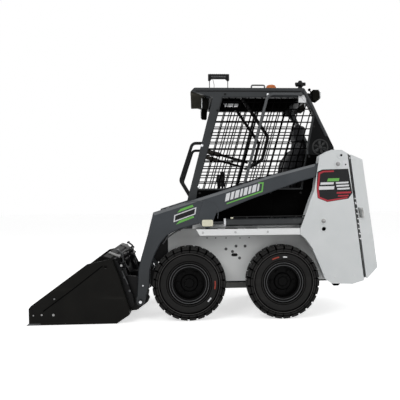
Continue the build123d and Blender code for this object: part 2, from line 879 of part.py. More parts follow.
keeper_length = 88.0
keeper_height = 52.0
keeper_sheet = 6.0
pin_head = 6.0
with BuildPart() as pin_keepers:
    for _, side in sides:
        keeper_y = side * (arm_outer_y + gusset_sheet)
        outer_y = side * (arm_outer_y + gusset_sheet + keeper_sheet)
        with BuildSketch(side_plane(keeper_y)):
            with Locations(lift_eye):
                RectangleRounded(keeper_length, keeper_height, 12)
        extrude(amount=-side * keeper_sheet)
        bar(lift_eye, cylinder_pin_radius, *sorted((outer_y, outer_y + side * pin_head)))
save(pin_keepers.part, "pin_keepers")

tilt_lug_y = (24.0, 36.0)
with BuildPart() as arm_cross_tube:
    bar(cross_tube, cross_tube_radius, -arm_inner_y, arm_inner_y)
    for _, side in sides:
        wall_from, wall_to = sorted((side * tilt_lug_y[0], side * tilt_lug_y[1]))
        slab(
            (
                (cross_tube[0] - 40, cross_tube[1]),
                (cross_tube[0] + 44, cross_tube[1]),
                (tilt_base[0] + 28, tilt_base[1]),
                (tilt_base[0] - 28, tilt_base[1]),
            ),
            wall_from,
            wall_to,
        )
        bar(tilt_base, 28, wall_from, wall_to)
    bar(tilt_base, cylinder_pin_radius, -tilt_lug_y[1], tilt_lug_y[1])
save(arm_cross_tube.part, "arm_cross_tube")

# ---- hydraulic cylinders ------------------------------------------------
cylinders = (
    # name, side, base pin, rod eye, mid Y, tube radius, tube length, base width, piston
    ("lift", "_left", lift_base, lift_eye, arm_mid_y, 31.0, 784.0, 48.0, 58.0),
    ("lift", "_right", lift_base, lift_eye, -arm_mid_y, 31.0, 784.0, 48.0, 58.0),
    ("tilt", "", tilt_base, tilt_eye, 0.0, 35.0, 335.0, 46.0, 99.0),
)
rod_radius = 15.0
tube_wall = 5.0
eye_radius = 28.0
eye_width = 36.0
piston_depth = 20.0
neck_radius = 20.0
tube_start = eye_radius + 8
for name, suffix, base, eye, mid_y, radius, length, base_width, piston in cylinders:
    reach = ((eye[0] - base[0]) ** 2 + (eye[1] - base[1]) ** 2) ** 0.5
    along = ((eye[0] - base[0]) / reach, 0, (eye[1] - base[1]) / reach)
    stand = Plane(origin=(base[0], mid_y, base[1]), x_dir=along, z_dir=(0, -1, 0))
    centre_line = Axis((base[0], mid_y, base[1]), along)
    bore_radius = radius - tube_wall
    with BuildPart() as barrel:
        with BuildSketch(stand):
            with BuildLine():
                Polyline(
                    (neck_radius / 2, 0),
                    (neck_radius / 2, neck_radius),
                    (tube_start, neck_radius),
                    (tube_start + 8, radius),
                    (length, radius),
                    (length, rod_radius + running_gap),
                    (length - 24, rod_radius + running_gap),
                    (length - 24, bore_radius),
                    (tube_start + 20, bore_radius),
                    (tube_start + 20, 0),
                    close=True,
                )
            make_face()
        revolve(axis=centre_line)
        bar(base, eye_radius, mid_y - base_width / 2, mid_y + base_width / 2)
        bar(
            base,
            cylinder_pin_radius + running_gap,
            mid_y - base_width,
            mid_y + base_width,
            Mode.SUBTRACT,
        )
    save(barrel.part, f"{name}_barrel{suffix}")
    with BuildPart() as rod:
        with BuildSketch(stand):
            with BuildLine():
                Polyline(
                    (piston, 0),
                    (piston, bore_radius - running_gap),
                    (piston + piston_depth, bore_radius - running_gap),
                    (piston + piston_depth, rod_radius),
                    (reach - 10, rod_radius),
                    (reach - 10, 0),
                    close=True,
                )
            make_face()
        revolve(axis=centre_line)
        bar(eye, eye_radius, mid_y - eye_width / 2, mid_y + eye_width / 2)
    save(rod.part, f"{name}_rod{suffix}")

# ---- coupler ------------------------------------------------------------
ear_inner_y = 408.0
ear_outer_y = 424.0
ear_outline = (
    (597, 120),
    (594, 76),
    (554, 80),
    (482, 130),
    (462, 148),
    (449, 180),
    (460, 200),
    (453, 237),
    (500, 300),
    (560, 352),
    (663, 362),
)
tilt_ear_outline = ((612, 180), (540, 282), (520, 300), (530, 335), (560, 340), (664, 330))
coupler_half = 470.0
rib_sheet = 10.0
coupler_plate = (
    (590, 110),
    (598, 110),
    (611, 136),
    (680, 362),
    (685, 380),
    (723, 478),
    (730, 500),
    (715, 500),
    (708, 478),
    (666, 362),
    (597, 140),
)
rib_outline = ((588, 112), (598, 140), (666, 362), (708, 478), (700, 478), (640, 366), (578, 190), (570, 130))
with BuildPart() as coupler:
    slab(coupler_plate, -coupler_half, coupler_half)
    # end plates that close the frame towards the arms, and two ribs
    for _, side in sides:
        for rib_y in (coupler_half - rib_sheet, 210):
            slab(rib_outline, *sorted((side * rib_y, side * (rib_y + rib_sheet))))
    for _, side in sides:
        wall_from, wall_to = sorted((side * ear_inner_y, side * ear_outer_y))
        slab(ear_outline, wall_from, wall_to)
        pin_from, pin_to = sorted((side * ear_inner_y, side * (arm_outer_y + 8)))
        bar(bucket_pivot, coupler_pin_radius, pin_from, pin_to)
        lug_from, lug_to = sorted((side * tilt_lug_y[0], side * tilt_lug_y[1]))
        slab(tilt_ear_outline, lug_from, lug_to)
        bar(tilt_eye, 28, lug_from, lug_to)
save(coupler.part, "coupler")

# ---- latches of the coupler ----------------------------------------------
# Each lever turns a link that drives a wedge pin down the back of the plate.
# The pin runs in two guides and seats in a bored keeper on the bucket.
wedge_y = 340.0
wedge_radius = 11.0
wedge_foot = (565.0, 90.0)
wedge_top = (634.6, 330.0)
wedge_rise = math.hypot(wedge_top[0] - wedge_foot[0], wedge_top[1] - wedge_foot[1])
wedge_dir = ((wedge_top[0] - wedge_foot[0]) / wedge_rise, (wedge_top[1] - wedge_foot[1]) / wedge_rise)
latch_pivot = (668.0, 430.0)
guide_shares = (0.36, 0.78)


def on_wedge(share):
    """Point on the wedge pin's line, from its foot to its top."""
    return tuple(a + share * (b - a) for a, b in zip(wedge_foot, wedge_top))


def wedge_bar(radius, share_from, share_to, y, mode=Mode.ADD):
    """Round bar or bore along the wedge pin's line."""
    x, z = on_wedge(share_from)
    with BuildSketch(Plane(origin=(x, y, z), x_dir=(0, 1, 0), z_dir=(wedge_dir[0], 0, wedge_dir[1]))) as round_bar:
        Circle(radius)
    extrude(round_bar.sketch, amount=(share_to - share_from) * wedge_rise, mode=mode)


with BuildPart() as coupler_guides:
    for _, side in sides:
        for share in guide_shares:
            x, z = on_wedge(share)
            slab(
                ((x - 18, z - 14), (x + 60, z - 14), (x + 60, z + 22), (x - 18, z + 22)),
                side * wedge_y - 24,
                side * wedge_y + 24,
            )
        # pivot cheeks of the lever
        for cheek_y in (wedge_y - 26, wedge_y + 16):
            slab(
                (
                    (latch_pivot[0] - 22, latch_pivot[1] - 20),
                    (latch_pivot[0] + 60, latch_pivot[1] - 20),
                    (latch_pivot[0] + 60, latch_pivot[1] + 24),
                    (latch_pivot[0] - 8, latch_pivot[1] + 24),
                ),
                *sorted((side * cheek_y, side * (cheek_y + 10))),
            )
    slab(
        ((400, 0), (597, 140), (666, 362), (708, 478), (715, 500), (715, 600), (400, 600)),
        -coupler_half,
        coupler_half,
        Mode.INTERSECT,
    )
    for _, side in sides:
        wedge_bar(wedge_radius + running_gap, -0.1, 1.2, side * wedge_y, Mode.SUBTRACT)
save(coupler_guides.part, "coupler_guides")

lever_path = ((668, 430), (676, 520), (716, 552))
with BuildPart() as coupler_latches:
    for _, side in sides:
        wedge_bar(wedge_radius, 0, 1, side * wedge_y)
        slab(
            (
                (wedge_top[0] - 9, wedge_top[1] - 16),
                (wedge_top[0] + 9, wedge_top[1] - 16),
                (latch_pivot[0] + 8, latch_pivot[1]),
                (latch_pivot[0] - 8, latch_pivot[1]),
            ),
            side * wedge_y - 5,
            side * wedge_y + 5,
        )
        bar(latch_pivot, 12, side * wedge_y - 15, side * wedge_y + 15)
        tube(at_y(lever_path, side * wedge_y), 8, 24)
        # cross grip at the lever's end
        bar((716, 552), 10, side * wedge_y - 32, side * wedge_y + 32)
save(coupler_latches.part, "coupler_latches")

# ---- bucket -------------------------------------------------------------
bucket_eye = (782.0, 445.0)
bucket_eye_radius = 13.0
bucket_side = (
    (half_length - edge_length, 0),
    (half_length - 22, edge_thickness),
    (half_length - 20, 130),
    (half_length - 38, 152),
    (925, 468),
    (740, 506),
    (686, 380),
    (611, 136),
    (598, 69),
    (697, 0),
)
bucket_inside = (
    (half_length + 50, bucket_sheet),
    (700, bucket_sheet),
    (607, 73),
    (619, 134),
    (694, 378),
    (752, 512),
    (752, 700),
    (half_length + 50, 700),
)
with BuildPart() as bucket:
    slab(bucket_side, -bucket_half, bucket_half)
    slab(bucket_inside, -bucket_half + bucket_side_sheet, bucket_half - bucket_side_sheet, Mode.SUBTRACT)
    edge_cut = (
        (half_length - edge_length, -5),
        (half_length + 50, -5),
        (half_length + 50, edge_thickness),
        (half_length - edge_length, edge_thickness),
    )
    slab(edge_cut, -bucket_half - 1, bucket_half + 1, Mode.SUBTRACT)
    # bored keepers that the wedge pins seat in
    for _, side in sides:
        slab(
            ((546, 72), (600, 72), (602, 90), (590, 108), (546, 108)),
            side * wedge_y - 26,
            side * wedge_y + 26,
        )
        wedge_bar(wedge_radius + running_gap, -0.02, 0.2, side * wedge_y, Mode.SUBTRACT)
    # lifting eye hole in each side plate
    bar(bucket_eye, bucket_eye_radius, -bucket_half - 1, bucket_half + 1, Mode.SUBTRACT)
save(bucket.part, "bucket")
with BuildPart() as cutting_edge:
    slab(
        (
            (half_length - edge_length, 0),
            (half_length, 0),
            (half_length - 25, edge_thickness),
            (half_length - edge_length, edge_thickness),
        ),
        -bucket_half,
        bucket_half,
    )
save(cutting_edge.part, "cutting_edge")

# ---- rear door ----------------------------------------------------------
door_outline = (
    (rear_x + 209.5, 1318),
    (rear_x + 118.5, 1277),
    (rear_x, 404),
    (rear_x + 84.5, 315),
    (rear_x + 92.5, 318),
    (rear_x + 216.5, 1318),
)
door_inside = (
    (rear_x + 223.5, 1309),
    (rear_x + 207.5, 1310),
    (rear_x + 124.5, 1273),
    (rear_x + door_sheet, 407),
    (rear_x + 83.5, 322),
    (rear_x + 103.5, 322),
)
door_slope = (door_outline[1][0] - rear_x) / (door_outline[1][1] - door_outline[2][1])


def on_door(z, depth):
    """X of a point at height z, the given depth outside the door's rear face."""
    return rear_x + (z - door_outline[2][1]) * door_slope - depth


def door_pad(z_from, z_to, depth_from, depth_to, y_from, y_to, mode=Mode.ADD):
    """Block on the door's sloping rear face, between two depths outside it."""
    slab(
        (
            (on_door(z_from, depth_to), z_from),
            (on_door(z_from, depth_from), z_from),
            (on_door(z_to, depth_from), z_to),
            (on_door(z_to, depth_to), z_to),
        ),
        y_from,
        y_to,
        mode,
    )


louvre_half = 250.0
louvre_low = 600.0
louvre_pitch = 44.0
louvre_slot = 14.0
with BuildPart() as rear_door:
    slab(door_outline, -tower_outer_y, tower_outer_y)
    slab(door_inside, -tower_outer_y + door_sheet, tower_outer_y - door_sheet, Mode.SUBTRACT)
    for share in hinge_shares:
        hinge_part(share, True, True)
    # louvres for the cooling air, slotted through the sheet with a hood over each
    for row in range(9):
        slot_z = louvre_low + row * louvre_pitch
        door_pad(slot_z, slot_z + louvre_slot, -2 * door_sheet, 1, -louvre_half, louvre_half, Mode.SUBTRACT)
        slab(
            (
                (on_door(slot_z + louvre_slot, 0), slot_z + louvre_slot),
                (on_door(slot_z + 4, 12), slot_z + 4),
                (on_door(slot_z + louvre_slot + 16, 0), slot_z + louvre_slot + 16),
            ),
            -louvre_half,
            louvre_half,
        )
save(rear_door.part, "rear_door")

# ---- fittings on the rear door -----------------------------------------
tail_lamp_y = (395.0, 455.0)
tail_lamp_z = (1020.0, 1130.0)
with BuildPart() as tail_lamps:
    for _, side in sides:
        lamp_from, lamp_to = sorted((side * tail_lamp_y[0], side * tail_lamp_y[1]))
        door_pad(*tail_lamp_z, contact_gap / 2, 14, lamp_from, lamp_to)
save(tail_lamps.part, "tail_lamps")

latch_outline = ((rear_x + 117.5, 888), (rear_x + 159.5, 888), (rear_x + 149.5, 806), (rear_x + 107.5, 806))
with BuildPart() as door_latch:
    slab(latch_outline, tower_outer_y, tower_outer_y + 4)
    slab(
        ((rear_x + 125.5, 878), (rear_x + 141.5, 878), (rear_x + 134.5, 816), (rear_x + 118.5, 816)),
        tower_outer_y + 4,
        tower_outer_y + 12,
    )
save(door_latch.part, "door_latch")

# ---- lap bar ------------------------------------------------------------
lap_path = ((-312, 1819), (-537, 1483), (-485, 1290), (-400, 1240))
lap_half = 300.0
lap_radius = 14.0
with BuildPart() as lap_bar:
    tube(
        [*at_y(lap_path, lap_half), *at_y(lap_path[::-1], -lap_half)],
        lap_radius,
        45,
    )
    for _, side in sides:
        stub = sorted((side * (lap_half - 20), side * (cab_inner_y - running_gap)))
        bar(lap_path[0], lap_radius + 6, *stub)
save(lap_bar.part, "lap_bar")
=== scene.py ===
import math

import bmesh
import bpy
from mathutils import Matrix, Vector


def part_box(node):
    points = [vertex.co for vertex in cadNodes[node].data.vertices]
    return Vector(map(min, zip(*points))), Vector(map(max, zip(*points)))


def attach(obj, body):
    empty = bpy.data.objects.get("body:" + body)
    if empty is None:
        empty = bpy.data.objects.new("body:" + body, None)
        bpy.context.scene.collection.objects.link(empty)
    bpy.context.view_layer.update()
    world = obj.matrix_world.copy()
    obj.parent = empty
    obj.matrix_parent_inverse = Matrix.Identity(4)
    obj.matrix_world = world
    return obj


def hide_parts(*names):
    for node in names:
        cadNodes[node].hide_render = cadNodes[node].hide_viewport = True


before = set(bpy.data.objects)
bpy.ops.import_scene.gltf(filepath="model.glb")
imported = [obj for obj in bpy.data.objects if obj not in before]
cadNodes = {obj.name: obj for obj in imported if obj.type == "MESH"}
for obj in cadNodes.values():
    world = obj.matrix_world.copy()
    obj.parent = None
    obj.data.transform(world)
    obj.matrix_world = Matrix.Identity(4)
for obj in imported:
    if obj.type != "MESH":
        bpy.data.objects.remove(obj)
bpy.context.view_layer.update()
sides = (("left", 1), ("right", -1))
print("frame loaded:", len(cadNodes), "nodes")

# stage: floor, backdrop, camera and lamps

camera = {
    "place": (0.0818, 4.57, 1.025),
    "turn": math.radians(3.5),
    "roll": 0.008,
    "lens": 45.96,
    "shift": (-0.065, -0.0206),
}
stage = {
    "floorSize": 40,
    "white": (1.0, 1.0, 1.0, 1),
    "shadowColor": (0.93, 0.93, 0.93, 1),
    "floorRoughness": 0.9,
    "floorSpecular": 0.1,
    "floorGlow": 0.62,
    "skyStrength": 0.36,
    "backdropStrength": 1.0,
}
lamps = {
    # name: place, aimed at, size, watts
    "keyLamp": ((2.6, 4.2, 4.6), (0, 0, 0.8), 3.2, 105),
    "fillLamp": ((-3.6, 3.6, 2.4), (0, 0, 0.9), 3.6, 44),
    "backLamp": ((-2.0, -4.0, 3.6), (0, 0, 0.9), 3.0, 60),
}


def placeObject(name, data):
    obj = bpy.data.objects.new(name, data)
    bpy.context.collection.objects.link(obj)
    return obj


def meshFrom(bm, name):
    mesh = bpy.data.meshes.new(name)
    bm.to_mesh(mesh)
    bm.free()
    return mesh


def setSockets(node, values):
    for socket, value in values.items():
        node.inputs[socket].default_value = value


def addNode(tree, kind, values=None, **options):
    # a shader node with its options first and the values of its sockets after them
    node = tree.nodes.new("ShaderNode" + kind)
    for option, choice in options.items():
        setattr(node, option, choice)
    setSockets(node, values or {})
    return node


def newMaterial(name):
    material = bpy.data.materials.new(name)
    material.use_nodes = True
    return material, material.node_tree, material.node_tree.nodes["Principled BSDF"]


def makeCamera():
    data = bpy.data.cameras.new("camera")
    data.lens = camera["lens"]
    data.shift_x, data.shift_y = camera["shift"]
    obj = placeObject("camera", data)
    turn, roll = camera["turn"], camera["roll"]
    ahead = Vector((-math.sin(turn), -math.cos(turn), 0))
    right = Vector((-math.cos(turn), math.sin(turn), 0))
    up = Vector((0, 0, 1))
    rolledUp = up * math.cos(roll) + right * math.sin(roll)
    rolledRight = right * math.cos(roll) - up * math.sin(roll)
    basis = Matrix((rolledRight, rolledUp, -ahead)).transposed().to_4x4()
    obj.matrix_world = Matrix.Translation(camera["place"]) @ basis
    bpy.context.scene.camera = obj


def seenDirectly(tree):
    # 1 where the camera, a reflection or glass looks at the surface, 0 where it lights the object
    path = addNode(tree, "LightPath")
    seen = path.outputs["Is Camera Ray"]
    for ray in ("Is Glossy Ray", "Is Transmission Ray"):
        either = addNode(tree, "Math", operation="MAXIMUM")
        tree.links.new(seen, either.inputs[0])
        tree.links.new(path.outputs[ray], either.inputs[1])
        seen = either.outputs[0]
    return seen


def makeFloor():
    bm = bmesh.new()
    bmesh.ops.create_grid(bm, x_segments=1, y_segments=1, size=stage["floorSize"] / 2)
    floor = placeObject("floor", meshFrom(bm, "floor"))
    material, tree, shade = newMaterial("floorPaint")
    setSockets(shade, {
        "Base Color": stage["shadowColor"],
        "Roughness": stage["floorRoughness"],
        "Specular IOR Level": stage["floorSpecular"],
        "Emission Color": stage["white"],
    })
    glow = addNode(tree, "Math", {1: stage["floorGlow"]}, operation="MULTIPLY")
    tree.links.new(seenDirectly(tree), glow.inputs[0])
    tree.links.new(glow.outputs[0], shade.inputs["Emission Strength"])
    floor.data.materials.append(material)


def makeWorld():
    world = bpy.data.worlds.new("studio")
    bpy.context.scene.world = world
    world.use_nodes = True
    tree = world.node_tree
    sky = tree.nodes["Background"]
    setSockets(sky, {"Color": stage["white"], "Strength": stage["skyStrength"]})
    backdrop = addNode(tree, "Background", {"Color": stage["white"], "Strength": stage["backdropStrength"]})
    mix = addNode(tree, "MixShader")
    tree.links.new(seenDirectly(tree), mix.inputs["Fac"])
    tree.links.new(sky.outputs[0], mix.inputs[1])
    tree.links.new(backdrop.outputs[0], mix.inputs[2])
    tree.links.new(mix.outputs[0], tree.nodes["World Output"].inputs["Surface"])


def makeStudioLamps():
    for name, (place, target, size, watts) in lamps.items():
        data = bpy.data.lights.new(name, "AREA")
        data.shape = "DISK"
        data.size = size
        data.energy = watts
        lamp = placeObject(name, data)
        lamp.location = place
        aim = Vector(target) - Vector(place)
        lamp.rotation_euler = aim.to_track_quat("-Z", "Y").to_euler()


makeCamera()
makeFloor()
makeWorld()
makeStudioLamps()
bpy.context.scene.view_settings.view_transform = "Standard"
print("stage ready")

# finishes

finishes = {
    # name: color, second color, roughness, metal, grain scale, bump, gloss coat, specular
    # arm paint: painted shade darkens it towards the bottom of the arms, set further down
    "armPaint": ((0.031, 0.037, 0.043), (0.040, 0.046, 0.053), 0.38, 0.0, 900, 0.04, 0.08, 0.33),
    "greyPaint": ((0.050, 0.057, 0.064), (0.058, 0.066, 0.074), 0.40, 0.0, 900, 0.04, 0.06, 0.35),
    "coverPaint": ((0.003, 0.0033, 0.0035), (0.006, 0.0065, 0.007), 0.42, 0.0, 900, 0.05, 0.0, 0.07),
    "tubePaint": ((0.046, 0.050, 0.054), (0.056, 0.060, 0.064), 0.38, 0.0, 900, 0.04, 0.08, 0.4),
    # painted highlight: a lighter copy of the arm paint for the strip along the arms' top edges
    "armHighlight": ((0.135, 0.143, 0.150), (0.155, 0.164, 0.172), 0.38, 0.0, 900, 0.04, 0.08, 0.4),
    "fenderWhite": ((0.86, 0.87, 0.87), (0.90, 0.91, 0.91), 0.36, 0.0, 900, 0.03, 0.2, 0.5),
    "cabPaint": ((0.024, 0.027, 0.029), (0.030, 0.033, 0.036), 0.44, 0.0, 900, 0.05, 0.04, 0.28),
    # pale paint: painted shade darkens it towards the top of the chassis side, set further down
    "palePaint": ((0.84, 0.855, 0.85), (0.88, 0.89, 0.885), 0.42, 0.0, 800, 0.04, 0.06, 0.40),
    "whitePaint": ((0.70, 0.725, 0.73), (0.74, 0.76, 0.765), 0.42, 0.0, 800, 0.04, 0.06, 0.40),
    "blackPaint": ((0.004, 0.004, 0.0045), (0.007, 0.007, 0.0075), 0.42, 0.0, 500, 0.05, 0.0, 0.14),
    # near-black, also used for painted shade: inside the tyre cuts and sidewall grooves, in the tower holes
    # and the gap behind the tower, and as the sheet under the side windows
    "panelBlack": ((0.0018, 0.0018, 0.0018), (0.003, 0.003, 0.003), 0.60, 0.0, 600, 0.05, 0.0, 0.0),
    "bucketPaint": ((0.0042, 0.0040, 0.0035), (0.0070, 0.0067, 0.0058), 0.46, 0.0, 300, 0.10, 0.0, 0.09),
    "blackSteel": ((0.007, 0.007, 0.0075), (0.012, 0.012, 0.012), 0.55, 0.0, 350, 0.12, 0.0, 0.16),
    "wornSteel": ((0.30, 0.30, 0.30), (0.42, 0.42, 0.41), 0.40, 1.0, 260, 0.10, 0.0, 0.5),
    "darkSteel": ((0.055, 0.057, 0.06), (0.09, 0.092, 0.095), 0.42, 0.6, 260, 0.10, 0.0, 0.4),
    "chrome": ((0.66, 0.67, 0.69), (0.72, 0.73, 0.75), 0.14, 1.0, 200, 0.01, 0.0, 0.5),
    "zinc": ((0.60, 0.58, 0.46), (0.68, 0.66, 0.54), 0.38, 0.75, 180, 0.04, 0.0, 0.5),
    "blackPlastic": ((0.006, 0.006, 0.0065), (0.010, 0.010, 0.0105), 0.55, 0.0, 1200, 0.15, 0.0, 0.16),
    "rubber": ((0.0050, 0.0048, 0.0046), (0.0080, 0.0077, 0.0074), 0.54, 0.0, 700, 0.20, 0.0, 0.17),
    # painted highlight: a paler rubber for one sidewall ridge
    "rubberHighlight": ((0.024, 0.023, 0.022), (0.042, 0.040, 0.039), 0.45, 0.0, 500, 0.15, 0.0, 0.30),
    "rodChrome": ((0.035, 0.036, 0.038), (0.060, 0.061, 0.064), 0.22, 0.9, 900, 0.02, 0.0, 0.5),
    "ventPaint": ((0.014, 0.015, 0.015), (0.020, 0.021, 0.021), 0.42, 0.0, 900, 0.05, 0.0, 0.3),
    # painted highlight: a lighter copy of the rim black for the flange and lip rings
    "rimHighlight": ((0.030, 0.031, 0.033), (0.045, 0.046, 0.048), 0.36, 0.0, 500, 0.05, 0.0, 0.5),
    "rimBlack": ((0.0016, 0.0016, 0.0017), (0.003, 0.003, 0.003), 0.45, 0.0, 500, 0.06, 0.0, 0.06),
    "cylinderPaint": ((0.028, 0.030, 0.032), (0.040, 0.043, 0.045), 0.26, 0.0, 700, 0.03, 0.0, 0.30),
    "bellyPaint": ((0.20, 0.20, 0.19), (0.23, 0.23, 0.22), 0.5, 0.0, 500, 0.08, 0.0, 0.25),
    "foam": ((0.030, 0.027, 0.022), (0.046, 0.042, 0.036), 0.85, 0.0, 500, 0.35, 0.0, 0.15),
    "batteryCase": ((0.25, 0.26, 0.27), (0.30, 0.31, 0.32), 0.5, 0.3, 500, 0.08, 0.0, 0.4),
    "amber": ((0.62, 0.17, 0.045), (0.68, 0.20, 0.055), 0.42, 0.0, 300, 0.03, 0.0, 0.25),
    "redLens": ((0.42, 0.01, 0.01), (0.50, 0.02, 0.015), 0.22, 0.0, 300, 0.02, 0.3, 0.5),
    "latchGrey": ((0.16, 0.17, 0.17), (0.21, 0.22, 0.22), 0.4, 0.3, 500, 0.05, 0.0, 0.4),
    "boltGrey": ((0.11, 0.11, 0.11), (0.15, 0.15, 0.15), 0.5, 0.0, 500, 0.05, 0.0, 0.3),
    "hoodOlive": ((0.078, 0.076, 0.063), (0.096, 0.093, 0.076), 0.6, 0.0, 600, 0.12, 0.0, 0.0),
    "lampCase": ((0.009, 0.009, 0.008), (0.016, 0.016, 0.013), 0.6, 0.0, 600, 0.12, 0.0, 0.0),
    "smokedLens": ((0.020, 0.021, 0.024), (0.034, 0.035, 0.038), 0.18, 0.0, 300, 0.02, 0.3, 0.5),
    "stripeRed": ((0.42, 0.030, 0.045), (0.46, 0.040, 0.055), 0.45, 0.0, 400, 0.02, 0.0, 0.25),
    "stripeGreen": ((0.13, 0.42, 0.07), (0.15, 0.46, 0.09), 0.42, 0.0, 900, 0.02, 0.05, 0.4),
    "stripeWhite": ((0.74, 0.75, 0.77), (0.78, 0.79, 0.80), 0.42, 0.0, 900, 0.02, 0.05, 0.4),
    "stripeBlack": ((0.008, 0.008, 0.009), (0.012, 0.012, 0.013), 0.40, 0.0, 900, 0.02, 0.0, 0.2),
    "tyreDash": ((0.30, 0.045, 0.03), (0.36, 0.06, 0.04), 0.6, 0.0, 500, 0.05, 0.0, 0.2),
}
materials = {}


finishDetail = {
    "drift": {"Scale": 6, "Detail": 6},  # broad tone drift over a panel
    "driftBand": (0.35, 0.68),
    "grainDetail": 3,  # orange peel, casting grain or brushing
    "roughBand": (-0.05, 0.07),
    "reliefDepth": 0.0004,
    "coatRoughness": 0.25,
}


def makeFinish(name, color, second, roughness, metal, grain, bump, coat, specular):
    material, tree, shade = newMaterial(name)
    setSockets(shade, {"Metallic": metal, "Specular IOR Level": specular})
    if coat:
        setSockets(shade, {"Coat Weight": coat, "Coat Roughness": finishDetail["coatRoughness"]})
    place = addNode(tree, "TexCoord")
    cloud = addNode(tree, "TexNoise", finishDetail["drift"])
    ramp = addNode(tree, "ValToRGB")
    for stop, position, tone in zip(ramp.color_ramp.elements, finishDetail["driftBand"], (color, second)):
        stop.position = position
        stop.color = (*tone, 1)
    fine = addNode(tree, "TexNoise", {"Scale": grain, "Detail": finishDetail["grainDetail"]})
    smoother, rougher = finishDetail["roughBand"]
    rough = addNode(tree, "MapRange", {"To Min": roughness + smoother, "To Max": roughness + rougher})
    relief = addNode(tree, "Bump", {"Strength": bump, "Distance": finishDetail["reliefDepth"]})
    link = tree.links.new
    link(place.outputs["Object"], cloud.inputs["Vector"])
    link(place.outputs["Object"], fine.inputs["Vector"])
    link(cloud.outputs["Fac"], ramp.inputs["Fac"])
    link(ramp.outputs["Color"], shade.inputs["Base Color"])
    link(cloud.outputs["Fac"], rough.inputs["Value"])
    link(rough.outputs["Result"], shade.inputs["Roughness"])
    link(fine.outputs["Fac"], relief.inputs["Height"])
    link(relief.outputs["Normal"], shade.inputs["Normal"])
    materials[name] = material
    return tree, shade


def colorBelow(name):
    # the finish's tree and shader, and what colors it so far
    tree = materials[name].node_tree
    shade = tree.nodes["Principled BSDF"]
    return tree, shade, shade.inputs["Base Color"].links[0].from_socket


def addScuffs(name, scuffColor, scale, low, high):
    # long thin scratches and rubbed patches over a finish
    tree, shade, below = colorBelow(name)
    place = addNode(tree, "TexCoord")
    stretch = addNode(tree, "Mapping", {"Scale": (scale * 0.12, scale, scale), "Rotation": (0, 0.5, 0)})
    scratch = addNode(tree, "TexNoise", {"Scale": 1, "Detail": 9})
    band = addNode(tree, "MapRange", {"From Min": low, "From Max": high})
    mix = addNode(tree, "Mix", {"B": (*scuffColor, 1)}, data_type="RGBA")
    link = tree.links.new
    link(place.outputs["Object"], stretch.inputs["Vector"])
    link(stretch.outputs["Vector"], scratch.inputs["Vector"])
    link(scratch.outputs["Fac"], band.inputs["Value"])
    link(band.outputs["Result"], mix.inputs["Factor"])
    link(below, mix.inputs["A"])
    link(mix.outputs["Result"], shade.inputs["Base Color"])


def addPaintedShade(name, dark, full, share):
    # painted shade: the finish keeps its whole color at the height full and fades evenly to a share of it at
    # dark
    tree, shade, below = colorBelow(name)
    place = addNode(tree, "TexCoord")
    split = addNode(tree, "SeparateXYZ")
    height = addNode(tree, "MapRange", {"From Min": dark, "From Max": full, "To Min": share})
    scaled = addNode(tree, "VectorMath", operation="SCALE")
    link = tree.links.new
    link(place.outputs["Object"], split.inputs["Vector"])
    link(split.outputs["Z"], height.inputs["Value"])
    link(below, scaled.inputs[0])
    link(height.outputs["Result"], scaled.inputs["Scale"])
    link(scaled.outputs["Vector"], shade.inputs["Base Color"])


vinyl = {
    "finish": ((0.016, 0.016, 0.019), (0.024, 0.024, 0.027), 0.58, 0.0, 900, 0.1, 0.0, 0.25),
    "sheen": 0.15,
    "cells": {"Scale": 420},
    "relief": {"Strength": 0.35, "Distance": 0.0006},
}
lens = {
    "glass": {"Base Color": (0.85, 0.87, 0.88, 1), "Roughness": 0.12, "Coat Weight": 0.5},
    "flutes": {"Scale": 55},
    "relief": {"Strength": 0.5, "Distance": 0.001},
}


def makeVinyl():
    # leather grain from small cells, with a soft sheen
    tree, shade = makeFinish("seatVinyl", *vinyl["finish"])
    setSockets(shade, {"Sheen Weight": vinyl["sheen"]})
    below = shade.inputs["Normal"].links[0].from_socket
    place = addNode(tree, "TexCoord")
    cells = addNode(tree, "TexVoronoi", vinyl["cells"])
    grain = addNode(tree, "Bump", vinyl["relief"])
    tree.links.new(place.outputs["Object"], cells.inputs["Vector"])
    tree.links.new(cells.outputs["Distance"], grain.inputs["Height"])
    tree.links.new(below, grain.inputs["Normal"])
    tree.links.new(grain.outputs["Normal"], shade.inputs["Normal"])


def makeLens():
    # pale fluted lens
    material, tree, shade = newMaterial("clearLens")
    setSockets(shade, lens["glass"])
    place = addNode(tree, "TexCoord")
    flutes = addNode(tree, "TexWave", lens["flutes"], bands_direction="Y")
    relief = addNode(tree, "Bump", lens["relief"])
    tree.links.new(place.outputs["Object"], flutes.inputs["Vector"])
    tree.links.new(flutes.outputs["Fac"], relief.inputs["Height"])
    tree.links.new(relief.outputs["Normal"], shade.inputs["Normal"])
    materials["clearLens"] = material


for finishName, values in finishes.items():
    makeFinish(finishName, *values)
addScuffs("bucketPaint", (0.020, 0.019, 0.017), 16, 0.60, 0.80)
addScuffs("wornSteel", (0.12, 0.12, 0.12), 30, 0.50, 0.75)
# painted shade: the arm paint darkens towards the bottom of the arms
addPaintedShade("armPaint", 0.30, 0.85, 0.42)
# painted shade: the pale paint darkens towards the top of the chassis side, under the fenders
addPaintedShade("palePaint", 0.65, 0.56, 0.72)
addScuffs("rubber", (0.019, 0.018, 0.017), 8, 0.50, 0.80)
makeVinyl()
makeLens()
print("finishes ready:", len(materials))

# helpers for new pieces


weldReach = 0.00002


